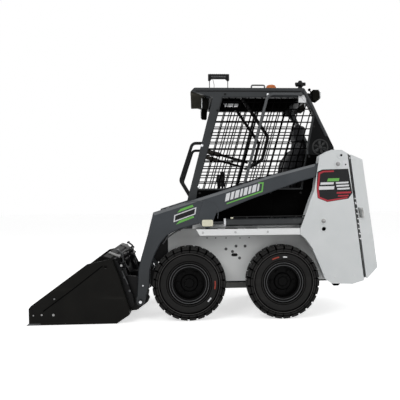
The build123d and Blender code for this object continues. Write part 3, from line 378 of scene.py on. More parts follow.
def settle(name, bm, body, finish, replaced=(), smooth=35):
    # merges a shape, turns its faces out and makes it a piece that rides on a body
    bmesh.ops.remove_doubles(bm, verts=bm.verts, dist=weldReach)
    bmesh.ops.recalc_face_normals(bm, faces=bm.faces)
    mesh = meshFrom(bm, name)
    for face in mesh.polygons:
        face.use_smooth = smooth > 0
    if smooth > 0:
        mesh.set_sharp_from_angle(angle=math.radians(smooth))
    obj = placeObject(name, mesh)
    mesh.materials.append(materials[finish])
    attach(obj, body)
    if replaced:
        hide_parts(*replaced)
    return obj


def pairUp(make):
    # the same piece on the left and on the right
    for sideName, side in sides:
        make(sideName, side)


def gradualStep(value, low, high):
    share = min(1.0, max(0.0, (value - low) / (high - low)))
    return share * share * (3 - 2 * share)


def turns(count, start=0.0):
    # angles evenly round a circle
    return [math.tau * k / count + start for k in range(count)]


def onCircle(x, z, radius, angle):
    return x + radius * math.cos(angle), z + radius * math.sin(angle)


def atY(points, y):
    # (x, z) points in millimetres as places at one Y
    return [(x / 1000, y, z / 1000) for x, z in points]


def onlyVerts(made):
    return [item for item in made["geom"] if isinstance(item, bmesh.types.BMVert)]


def edgesOf(verts):
    return {edge for vert in verts for edge in vert.link_edges}


def roundEdges(bm, edges, width, segments=2):
    bmesh.ops.bevel(
        bm, geom=list(edges), offset=width, segments=segments, profile=0.5, affect="EDGES", material=-1
    )


def addBlock(bm, low, high, rounding=0.0, segments=2):
    size = [abs(b - a) for a, b in zip(low, high)]
    middle = [(a + b) / 2 for a, b in zip(low, high)]
    place = Matrix.Translation(middle) @ Matrix.Diagonal((*size, 1))
    made = bmesh.ops.create_cube(bm, size=1, matrix=place)
    if rounding:
        roundEdges(bm, edgesOf(made["verts"]), rounding, segments)


def addBar(bm, spanX, y, half, spanZ, rounding=0.0, segments=2):
    # block between two X and two Z that reaches half to each side of y
    addBlock(bm, (spanX[0], y - half, spanZ[0]), (spanX[1], y + half, spanZ[1]), rounding, segments)


def addRound(bm, center, radius, depth, axis="Y", sideCount=32, top=None, rounding=0.0):
    # disc, rod, nut or cone along an axis
    axisTurns = {
        "Y": Matrix.Rotation(math.radians(-90), 4, "X"),
        "X": Matrix.Rotation(math.radians(90), 4, "Y"),
    }
    place = Matrix.Translation(center) @ axisTurns.get(axis, Matrix.Identity(4))
    top = radius if top is None else top
    made = bmesh.ops.create_cone(
        bm, cap_ends=True, segments=sideCount, radius1=radius, radius2=top, depth=depth, matrix=place
    )
    if rounding:
        rims = [
            edge for edge in edgesOf(made["verts"]) if any(len(face.verts) > 4 for face in edge.link_faces)
        ]
        roundEdges(bm, rims, rounding)


def addPlate(bm, points, yFrom, yTo, rounding=0.0):
    # upright plate from (x, z) points in millimetres
    face = bm.faces.new([bm.verts.new(place) for place in atY(points, yFrom)])
    moved = onlyVerts(bmesh.ops.extrude_face_region(bm, geom=[face]))
    bmesh.ops.translate(bm, vec=(0, yTo - yFrom, 0), verts=moved)
    if rounding:
        outer = [edge for edge in edgesOf(moved) if all(vert in moved for vert in edge.verts)]
        roundEdges(bm, outer, rounding)


def addFlat(bm, points, face, side, out):
    # thin mark laid on a face
    addPlate(bm, points, face + side * (out - 0.0004), face + side * out)


def addSpin(bm, profile, center, axis, steps, closed=True):
    # profile is a list of places, turned once about the axis
    verts = [bm.verts.new(point) for point in profile]
    edges = [bm.edges.new(pair) for pair in zip(verts, verts[1:])]
    if closed:
        edges.append(bm.edges.new((verts[-1], verts[0])))
    bmesh.ops.spin(
        bm, geom=verts + edges, cent=center, axis=axis, angle=math.tau, steps=steps, use_merge=True
    )


def addRing(bm, center, side, profile, steps):
    # profile of (radius, height out of the face), turned about an axle along Y
    x, y, z = center
    addSpin(bm, [(x + radius, y + side * out, z) for radius, out in profile], center, (0, 1, 0), steps)


def addPipe(bm, points, radius, bend=0.02, sideCount=12):
    # pipe with rounded corners, made from a curve and merged in
    curve = bpy.data.curves.new("pipe", "CURVE")
    curve.dimensions = "3D"
    curve.bevel_depth = radius
    curve.bevel_resolution = max(1, sideCount // 4 - 1)
    curve.use_fill_caps = True
    spline = curve.splines.new("BEZIER")
    route = [Vector(point) for point in points]
    stops = [(route[0], route[0], route[0])]
    for before, corner, after in zip(route, route[1:], route[2:]):
        back = (before - corner).normalized()
        onward = (after - corner).normalized()
        reach = min(bend, (before - corner).length * 0.45, (after - corner).length * 0.45)
        entry = corner + back * reach
        leave = corner + onward * reach
        stops.append((entry, entry, corner.lerp(entry, 0.45)))
        stops.append((leave, corner.lerp(leave, 0.45), leave))
    stops.append((route[-1], route[-1], route[-1]))
    spline.bezier_points.add(len(stops) - 1)
    for knot, (place, leftHandle, rightHandle) in zip(spline.bezier_points, stops):
        knot.handle_left_type = "FREE"
        knot.handle_right_type = "FREE"
        knot.co = place
        knot.handle_left = leftHandle
        knot.handle_right = rightHandle
    spline.resolution_u = 5
    holder = bpy.data.objects.new("pipe", curve)
    mesh = bpy.data.meshes.new_from_object(holder)
    bm.from_mesh(mesh)
    bpy.data.objects.remove(holder)
    bpy.data.curves.remove(curve)
    bpy.data.meshes.remove(mesh)


def addBolt(bm, x, z, yFace, side, size):
    # hex head with its washer, standing out of a face that looks along Y
    across, height, washer = size
    corner = across / 2 * 1.155
    addRound(bm, (x, yFace + side * 0.001, z), washer, 0.002, sideCount=24)
    addRound(bm, (x, yFace + side * (0.002 + height / 2), z), corner, height, sideCount=6, rounding=0.0008)


def addBolts(bm, points, yFace, side, size):
    for x, z in points:
        addBolt(bm, x / 1000, z / 1000, yFace, side, size)


def addBead(bm, points, y, radius=0.0025, bend=0.01):
    # weld bead or thin seam along an upright face, points in (x, z) millimetres
    addPipe(bm, atY(points, y), radius, bend, sideCount=8)


def addDome(bm, center, radius, height, axis="Y", rings=4):
    # ball squeezed along its axis, half of it sunk in a face
    made = bmesh.ops.create_uvsphere(bm, u_segments=24, v_segments=rings * 2, radius=1)
    scale = {"Y": (radius, height, radius), "X": (height, radius, radius)}[axis]
    bmesh.ops.scale(bm, vec=scale, verts=made["verts"])
    bmesh.ops.translate(bm, vec=center, verts=made["verts"])


# CAD nodes that stay: finish and softened edges

nodeFinishes = {
    "palePaint": ("chassis", "rear_hood"),
    "whitePaint": ("tower_left", "tower_right", "rear_door"),
    "armPaint": (
        "arm_left", "arm_right", "arm_cross_tube", "arm_gussets",
    ),
    "cylinderPaint": ("lift_barrel_left", "lift_barrel_right", "tilt_barrel"),
    "bellyPaint": ("belly_guard",),
    "cabPaint": ("cab_side_left", "cab_side_right", "cab_roof", "cab_rear"),
    "tubePaint": ("guard_tubes",),
    "fenderWhite": ("fenders",),
    "blackPaint": (
        "grab_handles", "lap_bar", "side_rails", "coupler", "coupler_guides", "front_step",
    ),
    "bucketPaint": ("bucket",),
    "blackSteel": ("axle_housings", "rear_frame", "pedals"),
    "wornSteel": ("door_latch",),
    "darkSteel": ("coupler_latches", "cutting_edge"),
    "rodChrome": ("lift_rod_left", "lift_rod_right", "tilt_rod"),
    "zinc": ("pin_keepers",),
    "batteryCase": ("battery_pack",),
    "blackPlastic": ("seat_base", "control_levers"),
    "rimBlack": ("rim_front_left", "rim_front_right", "rim_rear_left", "rim_rear_right"),
    "redLens": ("tail_lamps",),
}
softEdges = {
    "chassis": 3.0, "fenders": 2.5, "rear_hood": 2.0, "tower_left": 2.5, "tower_right": 2.5, "rear_door": 2.5,
    "cab_side_left": 4.0, "cab_side_right": 4.0, "cab_roof": 5.0, "cab_rear": 3.0, "bucket": 1.5,
    "coupler": 2.0, "coupler_guides": 1.5, "arm_left": 2.0, "arm_right": 2.0, "arm_gussets": 1.5,
    "pin_keepers": 1.5, "seat_base": 6.0, "pedals": 3.0, "battery_pack": 6.0, "belly_guard": 2.0,
    "rear_frame": 1.5, "tail_lamps": 3.0, "door_latch": 1.2, "front_step": 3.0,
}
for finishName, names in nodeFinishes.items():
    for nodeName in names:
        node = cadNodes[nodeName]
        node.data.materials.clear()
        node.data.materials.append(materials[finishName])
for nodeName, width in softEdges.items():
    node = cadNodes[nodeName]
    weld = node.modifiers.new("weld", "WELD")
    weld.merge_threshold = weldReach
    bevel = node.modifiers.new("softEdges", "BEVEL")
    bevel.width = width / 1000
    bevel.segments = 2
    bevel.limit_method = "ANGLE"
    bevel.angle_limit = math.radians(28)
    bevel.use_clamp_overlap = True
    bevel.harden_normals = False
print("CAD nodes finished")

# tyres: spun carcass, grooves cut between the lugs, painted shade in the cuts and sidewall grooves, painted
# highlight on one ridge

tyre = {
    "lugs": 26,
    "stepsPerLug": 9,
    "radius": 0.295,
    "halfWidth": 0.0875,
    "section": (
        # inset from the side, drop from the tread
        (0.0795, 0.0), (0.0425, 0.0005), (0.014, 0.002), (0.007, 0.007), (0.004, 0.0235),
        (0.0090, 0.0250), (0.0085, 0.0290), (0.003, 0.0305), (0.001, 0.0455), (0.008, 0.0475),
        (0.006, 0.0490), (0.001, 0.0520), (0.0010, 0.0570), (0.0055, 0.0615), (0.0055, 0.0660),
        (0.0010, 0.0720), (0.0002, 0.0850), (0.0025, 0.1050), (0.0060, 0.1130), (0.0085, 0.1145),
        (0.0085, 0.1175), (0.0020, 0.1195), (0.0015, 0.1255), (0.0090, 0.1290), (0.0095, 0.1312),
        (0.0100, 0.1420), (0.0180, 0.1500), (0.0185, 0.1670),
    ),
    "centerHalf": 0.008,
    "notchDepth": 0.046,  # how far in from the tread the cuts between lugs reach
    "wideDepth": 0.030,  # and how far they are two steps wide
    "sipeStep": 6,
    "sipeAcross": (0.04, 0.0755),
    "treadSink": 0.011,
    "sideSink": 0.020,
    "sideFrom": (0.020, 0.006),  # where the tread turns into the side, in from the side
    "sidewallInset": 0.016,
    "ridge": (0.2365, 0.2460),
    "grooves": ((0.2650, 0.2712), (0.2460, 0.2500), (0.2285, 0.2360), (0.1770, 0.1820), (0.1530, 0.1665)),
}


def wheelCenter(name):
    low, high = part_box("tyre_" + name)
    return (low + high) / 2


def makeTyre(name):
    center = wheelCenter(name)
    top, half = tyre["radius"], tyre["halfWidth"]
    halfProfile = [(half - inset, top - drop) for inset, drop in tyre["section"]]
    profile = [(-y, r) for y, r in reversed(halfProfile)] + halfProfile
    points = [(center.x, center.y + y, center.z - r) for y, r in profile]
    bm = bmesh.new()
    addSpin(bm, points, center, (0, 1, 0), tyre["lugs"] * tyre["stepsPerLug"])
    bmesh.ops.remove_doubles(bm, verts=bm.verts, dist=weldReach)

    # faces between the lugs and across them, by their step round the tyre
    pitch = math.tau / tyre["lugs"]
    sipeFrom, sipeTo = tyre["sipeAcross"]
    cut = []
    for face in bm.faces:
        middle = face.calc_center_median() - center
        reach, out = math.hypot(middle.x, middle.z), abs(middle.y)
        if reach < top - tyre["notchDepth"]:
            continue
        angle = math.atan2(middle.x, -middle.z) % math.tau
        turned = (angle / pitch + (0.5 if middle.y < 0 else 0.0)) % 1.0
        step = int(turned * tyre["stepsPerLug"])
        if (
            out < tyre["centerHalf"]
            or step == 0
            or step == 1 and reach > top - tyre["wideDepth"]
            or step == tyre["sipeStep"] and sipeFrom < out < sipeTo
        ):
            cut.append(face)
    bmesh.ops.recalc_face_normals(bm, faces=bm.faces)
    made = bmesh.ops.extrude_face_region(bm, geom=cut)
    sideLow, sideHigh = (half - inset for inset in tyre["sideFrom"])
    for vert in onlyVerts(made):
        fromAxle = vert.co - center
        reach = math.hypot(fromAxle.x, fromAxle.z)
        sideShare = gradualStep(abs(fromAxle.y), sideLow, sideHigh)
        depth = gradualStep(reach, top - tyre["notchDepth"], top - tyre["wideDepth"])
        share = (reach - tyre["treadSink"] * (1 - 0.6 * sideShare) * depth) / reach
        vert.co.x = center.x + fromAxle.x * share
        vert.co.z = center.z + fromAxle.z * share
        if sideShare:
            inward = tyre["sideSink"] * sideShare
            vert.co.y = center.y + math.copysign(abs(fromAxle.y) - inward, fromAxle.y)
    # painted shade: the sunk faces of the cuts take the near-black finish of slot 1
    for item in made["geom"]:
        if isinstance(item, bmesh.types.BMFace):
            item.material_index = 1
    bmesh.ops.delete(bm, geom=[face for face in cut if face.is_valid], context="FACES")

    # painted shade: black in the sidewall grooves; painted highlight: one paler ridge on the sidewall
    for face in bm.faces:
        middle = face.calc_center_median() - center
        reach = math.hypot(middle.x, middle.z)
        if abs(middle.y) < half - tyre["sidewallInset"]:
            continue
        if any(low < reach < high for low, high in tyre["grooves"]):
            face.material_index = 1
        elif tyre["ridge"][0] < reach < tyre["ridge"][1] and face.material_index == 0:
            face.material_index = 2
    obj = settle("tyreTread_" + name, bm, "wheel_" + name, "rubber", ["tyre_" + name], smooth=32)
    # slot 1 is near-black painted shade, slot 2 the paler painted highlight
    obj.data.materials.append(materials["panelBlack"])
    obj.data.materials.append(materials["rubberHighlight"])


wheelTrim = {
    "nuts": 6,
    "nutCircle": 0.090,
    "nutSize": (0.022, 0.014, 0.016),
    "discFace": 0.020,
    "valve": (0.108, 2.3, 0.004, 0.032),  # circle, angle, radius, length
    "hub": (0.034, 0.040, 0.034, 0.008),  # out, foot radius, top radius, depth
    "hubFace": 0.030,
    "hubBolts": 8,
    "hubCircle": 0.050,
    "hubBoltSize": (0.010, 0.004, 0.0075),
    "ringSteps": 72,
    "flange": ((0.1520, 0.0765), (0.1530, 0.0800), (0.1550, 0.0812), (0.1580, 0.0805), (0.1590, 0.0765)),
    "lip": (
        (0.1330, 0.0770), (0.1345, 0.0795), (0.1375, 0.0800), (0.1395, 0.0780), (0.1390, 0.0755),
        (0.1340, 0.0750),
    ),
    "dish": (
        (0.1250, 0.0700), (0.1335, 0.0775), (0.1500, 0.0782), (0.1505, 0.0760), (0.1340, 0.0745),
        (0.1230, 0.0650),
    ),
    "step": ((0.1180, 0.046), (0.1180, 0.050), (0.1160, 0.051), (0.1140, 0.048), (0.1140, 0.044)),
}
dashes = {
    # finish, radius, angle from the rear towards the top and sweep of each dash on the sidewall
    "front": (("tyreDash", 0.206, -12, 18), ("stripeWhite", 0.204, -44, 11)),
    "rear": (("tyreDash", 0.206, 100, 16), ("stripeWhite", 0.204, 82, 9)),
    "half": 0.005,
    "sink": 0.0012,
    "depth": 0.0016,
    "steps": 8,
}


def makeWheelTrim(name, side):
    center = wheelCenter(name)
    x, y, z = center
    face, hubFace = y + side * wheelTrim["discFace"], y + side * wheelTrim["hubFace"]
    bm = bmesh.new()
    for angle in turns(wheelTrim["nuts"]):
        addBolt(bm, *onCircle(x, z, wheelTrim["nutCircle"], angle), face, side, wheelTrim["nutSize"])
    circle, angle, radius, length = wheelTrim["valve"]
    valveX, valveZ = onCircle(x, z, circle, angle)
    addRound(bm, (valveX, face + side * length / 2, valveZ), radius, length, sideCount=12)
    out, foot, top, depth = wheelTrim["hub"]
    addRound(bm, (x, y + side * out, z), foot, depth, sideCount=40, top=top)
    for angle in turns(wheelTrim["hubBolts"]):
        spot = onCircle(x, z, wheelTrim["hubCircle"], angle)
        addBolt(bm, *spot, hubFace, side, wheelTrim["hubBoltSize"])
    settle("wheelNuts_" + name, bm, "wheel_" + name, "rimBlack")
    # painted highlight on the flange and lip rings; the dish keeps the rim black
    for pieceName, finish, rings in (
        ("rimRings_", "rimHighlight", ("flange", "lip")),
        ("rimDish_", "rimBlack", ("dish", "step")),
    ):
        bm = bmesh.new()
        for ring in rings:
            addRing(bm, center, side, wheelTrim[ring], wheelTrim["ringSteps"])
        settle(pieceName + name, bm, "wheel_" + name, finish)


def makeDashes(end):
    center = wheelCenter(end + "_left")
    face = center.y + tyre["halfWidth"] - dashes["sink"]
    lifted = face + dashes["depth"]
    for number, (finish, radius, start, sweep) in enumerate(dashes[end]):
        bm = bmesh.new()
        inner, outer = radius - dashes["half"], radius + dashes["half"]
        first = math.radians(start)
        corners = [
            (center.x - reach * math.cos(first), y, center.z + reach * math.sin(first))
            for reach, y in ((inner, face), (outer, face), (outer, lifted), (inner, lifted))
        ]
        flat = bm.faces.new([bm.verts.new(corner) for corner in corners])
        bmesh.ops.spin(
            bm, geom=[flat], cent=center, axis=(0, 1, 0), angle=math.radians(sweep), steps=dashes["steps"]
        )
        settle(f"tyreDash_{end}_{number}", bm, f"wheel_{end}_left", finish, smooth=0)


for end in ("front", "rear"):
    for sideName, side in sides:
        makeTyre(f"{end}_{sideName}")
        makeWheelTrim(f"{end}_{sideName}", side)
    makeDashes(end)
print("wheels ready")


# painted shade: black sheet under the side window, bolted to the cab side, standing in for the shade under
# the arm; a pale sill along its foot

shadeSkirt = {
    "face": 0.398,
    "thickness": 0.0022,
    "rounding": 0.0008,
    "outline": ((104, 733), (60, 1040), (-806, 1040), (-846, 1330), (-1028, 1324), (-984, 733)),
    "ribs": (-120, -330, -540, -750),
    "ribZ": (780, 985),
    "ribLean": 30,
    "ribRadius": 0.003,
    "bolts": (
        (70, 795), (42, 1015), (-250, 1018), (-540, 1018), (-790, 1012), (-975, 1300), (-862, 1310),
        (-540, 795), (-250, 795),
    ),
    "boltSize": (0.013, 0.006, 0.010),
    "sill": ((104, 728), (100, 772), (-984, 762), (-984, 728)),
    "sillThickness": 0.003,
}


def makeShadeSkirt(sideName, side):
    face = side * shadeSkirt["face"]
    outer = face + side * shadeSkirt["thickness"]
    bm = bmesh.new()
    addPlate(bm, shadeSkirt["outline"], face, outer, shadeSkirt["rounding"])
    low, high = shadeSkirt["ribZ"]
    for x in shadeSkirt["ribs"]:
        addBead(bm, ((x, low), (x - shadeSkirt["ribLean"], high)), outer, shadeSkirt["ribRadius"])
    # painted shade: the black sheet darkens the lower cab side
    settle("cabShadeSkirt_" + sideName, bm, "root", "panelBlack")
    bm = bmesh.new()
    addBolts(bm, shadeSkirt["bolts"], outer, side, shadeSkirt["boltSize"])
    settle("skirtBolts_" + sideName, bm, "root", "blackSteel")
    bm = bmesh.new()
    addPlate(bm, shadeSkirt["sill"], outer, outer + side * shadeSkirt["sillThickness"], shadeSkirt["rounding"])
    settle("cabSill_" + sideName, bm, "root", "fenderWhite")


pairUp(makeShadeSkirt)

# bolts on the cab posts, blank plate and the seams round the window

cabTrim = {
    "face": 0.398,
    "postBolts": ((20, 1404), (48, 1066), (-524, 1822), (-786, 1822)),
    "postBolt": (0.011, 0.004),  # radius, height
    "postDome": (0.008, 0.004),
    "darkBolts": ((-172, 1824), (-108, 1690), (-60, 1500), (-650, 1824), (-905, 1560), (-930, 1290)),
    "darkBoltSize": (0.013, 0.006, 0.009),
    "seal": ((62, 1050), (-148, 1801), (-802, 1801), (-909, 1668), (-847, 1363), (-802, 1050)),
    "sealRadius": 0.002,
    "roofSeam": ((66, 1849), (-800, 1849)),
    "seamRadius": 0.0045,
    "beadOut": 0.0005,
    "plate": ((-779, 1757), (-779, 1822), (-842, 1820), (-842, 1755)),
    "plateY": (0.3985, 0.4),
}


def makeCabTrim(sideName, side):
    face = side * cabTrim["face"]
    bm = bmesh.new()
    radius, height = cabTrim["postBolt"]
    for x, y, z in atY(cabTrim["postBolts"], face):
        addRound(bm, (x, y + side * height / 2, z), radius, height, sideCount=24, rounding=0.001)
        addDome(bm, (x, y + side * height, z), *cabTrim["postDome"])
    settle("postBolts_" + sideName, bm, "root", "chrome")
    bm = bmesh.new()
    addBolts(bm, cabTrim["darkBolts"], face, side, cabTrim["darkBoltSize"])
    beadFace = face + side * cabTrim["beadOut"]
    for start, stop in zip(cabTrim["seal"], cabTrim["seal"][1:] + cabTrim["seal"][:1]):
        addBead(bm, (start, stop), beadFace, cabTrim["sealRadius"])
    addBead(bm, cabTrim["roofSeam"], beadFace, cabTrim["seamRadius"])
    settle("cabBolts_" + sideName, bm, "root", "blackSteel")
    bm = bmesh.new()
    inner, outer = cabTrim["plateY"]
    addPlate(bm, cabTrim["plate"], side * inner, side * outer, 0.0005)
    settle("blankPlate_" + sideName, bm, "root", "stripeWhite")


rearCover = {
    "outline": (
        (-897, 1676), (-913, 1669), (-966, 1600), (-1072, 1385), (-1035, 1330), (-858, 1330),
        (-856, 1372), (-914, 1652),
    ),
    "thickness": 0.0016,
    "strut": ((-822, 1850), (-886, 1740), (-948, 1606), (-1010, 1480)),
    "strutOut": 0.004,
    "strutRadius": 0.0135,
}


def makeRearCover(sideName, side):
    face = side * cabTrim["face"]
    bm = bmesh.new()
    addPlate(bm, rearCover["outline"], face, face + side * rearCover["thickness"], 0.0005)
    settle("rearCover_" + sideName, bm, "root", "coverPaint")
    bm = bmesh.new()
    route = atY(rearCover["strut"], face + side * rearCover["strutOut"])
    addPipe(bm, route, rearCover["strutRadius"], bend=0.03, sideCount=20)
    settle("rearStrut_" + sideName, bm, "root", "cabPaint")


pairUp(makeCabTrim)
pairUp(makeRearCover)

# roof: pressed ribs, drip edge, small steel rail and the lining under it

roof = {
    "top": 1.875,
    "sink": 0.002,  # how far the pressed shapes reach down into the roof
    "ribs": (-0.24, -0.12, 0.0, 0.12, 0.24),
    "ribX": (-0.78, -0.30),
    "ribHalf": 0.018,
    "ribHeight": 0.005,
    "edgeX": (-0.826, 0.078),
    "edgeY": 0.381,
    "edgeHalf": 0.009,
    "edgeHeight": 0.004,
    "railX": (-0.505, -0.395),
    "railY": 0.345,
    "railHeight": 0.034,
    "railRadius": 0.0065,
    "railFoot": (0.011, 0.004),
    "lining": ((-0.795, -0.366, 1.800), (-0.150, 0.366, 1.849)),
    "channels": (-0.62, -0.45, -0.28),
    "channelHalf": 0.004,
    "channelReach": 0.350,
    "channelZ": (1.7975, 1.804),
    "lampBase": ((-0.300, 0.190, 1.772), (-0.170, 0.262, 1.795)),
    "lampLens": ((-0.292, 0.196, 1.752), (-0.178, 0.258, 1.774)),
}


def makeRoof():
    top = roof["top"]
    foot = top - roof["sink"]
    bm = bmesh.new()
    for y in roof["ribs"]:
        addBar(bm, roof["ribX"], y, roof["ribHalf"], (foot, top + roof["ribHeight"]), 0.003, 3)
    for side in (1, -1):
        y = side * roof["edgeY"]
        addBar(bm, roof["edgeX"], y, roof["edgeHalf"], (foot, top + roof["edgeHeight"]), 0.0018)
    settle("roofRibs", bm, "root", "cabPaint")
    bm = bmesh.new()
    start, stop = roof["railX"]
    high = top + roof["railHeight"]
    radius, height = roof["railFoot"]
    for side in (1, -1):
        y = side * roof["railY"]
        route = [(start, y, top), (start, y, high), (stop, y, high), (stop, y, top)]
        addPipe(bm, route, roof["railRadius"], bend=0.012)
        for x in (start, stop):
            addRound(bm, (x, y, top + height / 2), radius, height, "Z", 24)
    settle("roofRails", bm, "root", "boltGrey")
    bm = bmesh.new()
    addBlock(bm, *roof["lining"], 0.014, 4)
    for x in roof["channels"]:
        span = (x - roof["channelHalf"], x + roof["channelHalf"])
        addBar(bm, span, 0, roof["channelReach"], roof["channelZ"], 0.002)
    settle("roofLining", bm, "root", "panelBlack")
    bm = bmesh.new()
    addBlock(bm, *roof["lampBase"], 0.006, 3)
    settle("cabLampBase", bm, "root", "blackPlastic")
    bm = bmesh.new()
    addBlock(bm, *roof["lampLens"], 0.006, 3)
    settle("cabLampLens", bm, "root", "clearLens")


makeRoof()

# work lamps: ribbed housings with lenses, on brackets under the roof ends

lampDetail = {
    "out": 0.300,
    "half": 0.050,
    "front": ((-44, 1812), (-38, 1722), (-28, 1712), (8, 1716), (16, 1728), (12, 1812)),
    "frontHalf": 0.024,
    "rear": ((-914, 1788), (-950, 1779), (-974, 1800), (-970, 1862), (-958, 1872), (-908, 1868)),
    "rearHalf": 0.046,
    "ribs": 6,
    "ribHalf": 0.0025,
    "ribX": (-0.962, -0.912),
    "ribZ": (1.787, 1.874),
    "sideRibs": (-0.958, -0.944, -0.930, -0.916),
    "sideRibZ": (1.796, 1.866),
    "frontRibs": (1.735, 1.752, 1.769, 1.786),
    "frontRibX": (-0.036, 0.008),
    "ribOut": 0.003,
    "stub": (0.011, 0.022),
    "cable": ((-892, 1882), (-905, 1862), (-935, 1850)),
    "lenses": (
        # X, half width, Z, rounding
        ((0.014, 0.021), 0.020, (1.726, 1.804), 0.003),
        ((0.107, 0.113), 0.036, (1.831, 1.853), 0.002),
        ((-0.9835, -0.970), 0.036, (1.806, 1.858), 0.003),
    ),
    "rearBracket": (
        (-848, 1846), (-880, 1852), (-925, 1842), (-918, 1800), (-900, 1770), (-872, 1740), (-884, 1772),
    ),
    "bracketHalf": 0.012,
    "bracketBolts": ((-886, 1800), (-900, 1826)),
    "boltSize": (0.014, 0.008, 0.010),
    "frontStay": ((-0.048, -0.010), 0.010, (1.806, 1.851)),
    "hood": ((-5, 1829), (108, 1824), (111, 1834), (109, 1859), (-5, 1859)),
    "hoodHalf": 0.352,
    "cells": 9,
    "cellPitch": 0.06,
    "cellHalf": 0.014,
    "cellX": (0.106, 0.1105),
    "cellZ": (1.836, 1.850),
}


def makeLamps(sideName, side):
    out, half = side * lampDetail["out"], lampDetail["half"]
    frontHalf, rearHalf = lampDetail["frontHalf"], lampDetail["rearHalf"]
    ribHalf, ribOut = lampDetail["ribHalf"], lampDetail["ribOut"]
    bm = bmesh.new()
    addPlate(bm, lampDetail["front"], out - frontHalf, out + frontHalf, 0.003)
    addPlate(bm, lampDetail["rear"], out - rearHalf, out + rearHalf, 0.004)
    ribReach = half - 0.006
    for k in range(lampDetail["ribs"]):
        y = out - ribReach + k * 2 * ribReach / (lampDetail["ribs"] - 1)
        addBar(bm, lampDetail["ribX"], y, ribHalf, lampDetail["ribZ"], 0.001, 1)
    for edge in (-1, 1):
        y = out + edge * (half - 0.002)
        for x in lampDetail["sideRibs"]:
            addBar(bm, (x - ribHalf, x + ribHalf), y, ribOut, lampDetail["sideRibZ"], 0.001, 1)
        y = out + edge * frontHalf
        for z in lampDetail["frontRibs"]:
            addBar(bm, lampDetail["frontRibX"], y, ribOut, (z - ribOut, z + ribOut), 0.001, 1)
    cable = atY(lampDetail["cable"], out)
    addRound(bm, cable[0], *lampDetail["stub"], "Y", 24, rounding=0.004)
    addPipe(bm, cable, 0.005, 0.01)
    replaced = ["work_lamps"] if side > 0 else ()
    settle("lampHousings_" + sideName, bm, "root", "lampCase", replaced)
    bm = bmesh.new()
    for spanX, lensHalf, spanZ, rounding in lampDetail["lenses"]:
        addBar(bm, spanX, out, lensHalf, spanZ, rounding, 3)
    settle("lampLens_" + sideName, bm, "root", "clearLens")
    bm = bmesh.new()
    reach = lampDetail["bracketHalf"]
    addPlate(bm, lampDetail["rearBracket"], out - reach, out + reach, 0.001)
    spanX, stayHalf, spanZ = lampDetail["frontStay"]
    addBar(bm, spanX, out, stayHalf, spanZ, 0.001, 1)
    addBolts(bm, lampDetail["bracketBolts"], out + side * reach, side, lampDetail["boltSize"])
    settle("lampBrackets_" + sideName, bm, "root", "blackSteel")


def makeLampHood():
    bm = bmesh.new()
    addPlate(bm, lampDetail["hood"], -lampDetail["hoodHalf"], lampDetail["hoodHalf"], 0.004)
    for k in range(lampDetail["cells"]):
        y = (k - (lampDetail["cells"] - 1) / 2) * lampDetail["cellPitch"]
        addBar(bm, lampDetail["cellX"], y, lampDetail["cellHalf"], lampDetail["cellZ"], 0.001, 1)
    settle("lampHood", bm, "root", "hoodOlive")


makeLampHood()
pairUp(makeLamps)

# welded mesh in each side window, and the vent behind it

windowMesh = {
    "radius": 0.0054,
    "window": (
        (59, 1053), (-146, 1774), (-150, 1798), (-800, 1798), (-905, 1669), (-844, 1364), (-800, 1053),
    ),
    "levelY": 0.368,
    "leanY": 0.3745,
    "pitch": 54.5,
    "low": 1053,
    "high": 1798,
    "rows": 13,
    "columns": 15,
    "inFrame": 6,  # how far a level wire runs into the frame, on top of it
    "overFrame": 4,
    "tries": 150,  # heights tried when a leaning wire is cut to the window
}


def windowSpan(height):
    # front and rear X of the window opening at a height
    hits = []
    corners = windowMesh["window"]
    for (x1, z1), (x2, z2) in zip(corners, corners[1:] + corners[:1]):
        if min(z1, z2) <= height < max(z1, z2):
            hits.append(x1 + (x2 - x1) * (height - z1) / (z2 - z1))
    return (max(hits), min(hits)) if len(hits) > 1 else None


def makeMesh(sideName, side):
    low, high, pitch = windowMesh["low"], windowMesh["high"], windowMesh["pitch"]
    (footX, footZ), (headX, headZ) = windowMesh["window"][:2]
    bm = bmesh.new()
    for row in range(1, windowMesh["rows"] + 1):
        z = low + row * pitch
        front, back = windowSpan(z)
        ends = ((front + windowMesh["inFrame"], z), (back - windowMesh["inFrame"], z))
        addBead(bm, ends, side * windowMesh["levelY"], windowMesh["radius"])
    lean = (headX - footX) / (headZ - footZ)
    over, tries = windowMesh["overFrame"], windowMesh["tries"]
    for column in range(1, windowMesh["columns"] + 1):
        inside = []
        for k in range(tries):
            z = low + 0.5 + k * (high - low - 1) / (tries - 1)
            x = footX - column * pitch + (z - low) * lean
            span = windowSpan(z)
            if span and span[1] - over <= x <= span[0] + over:
                inside.append((x, z))
        if len(inside) > 1:
            addBead(bm, (inside[0], inside[-1]), side * windowMesh["leanY"], windowMesh["radius"])
    replaced = ["side_mesh_" + sideName]
    settle("windowMesh_" + sideName, bm, "root", "panelBlack", replaced, smooth=60)


vent = {
    "center": (-957, 1388),
    "face": 0.399,
    "ring": ((0.056, 0.0), (0.056, 0.004), (0.058, 0.0065), (0.065, 0.0065), (0.068, 0.004), (0.069, 0.0)),
    "blades": 6,
    "firstBlade": 0.26,
    "bladeY": 0.4005,
    "bladeRoot": 0.020,
    "bladePipes": ((-0.16, 0.044, 0.006), (0.0, 0.052, 0.007), (0.16, 0.044, 0.006)),  # turn, reach, radius
    "capY": 0.402,
    "cap": (0.016, 0.006),
}


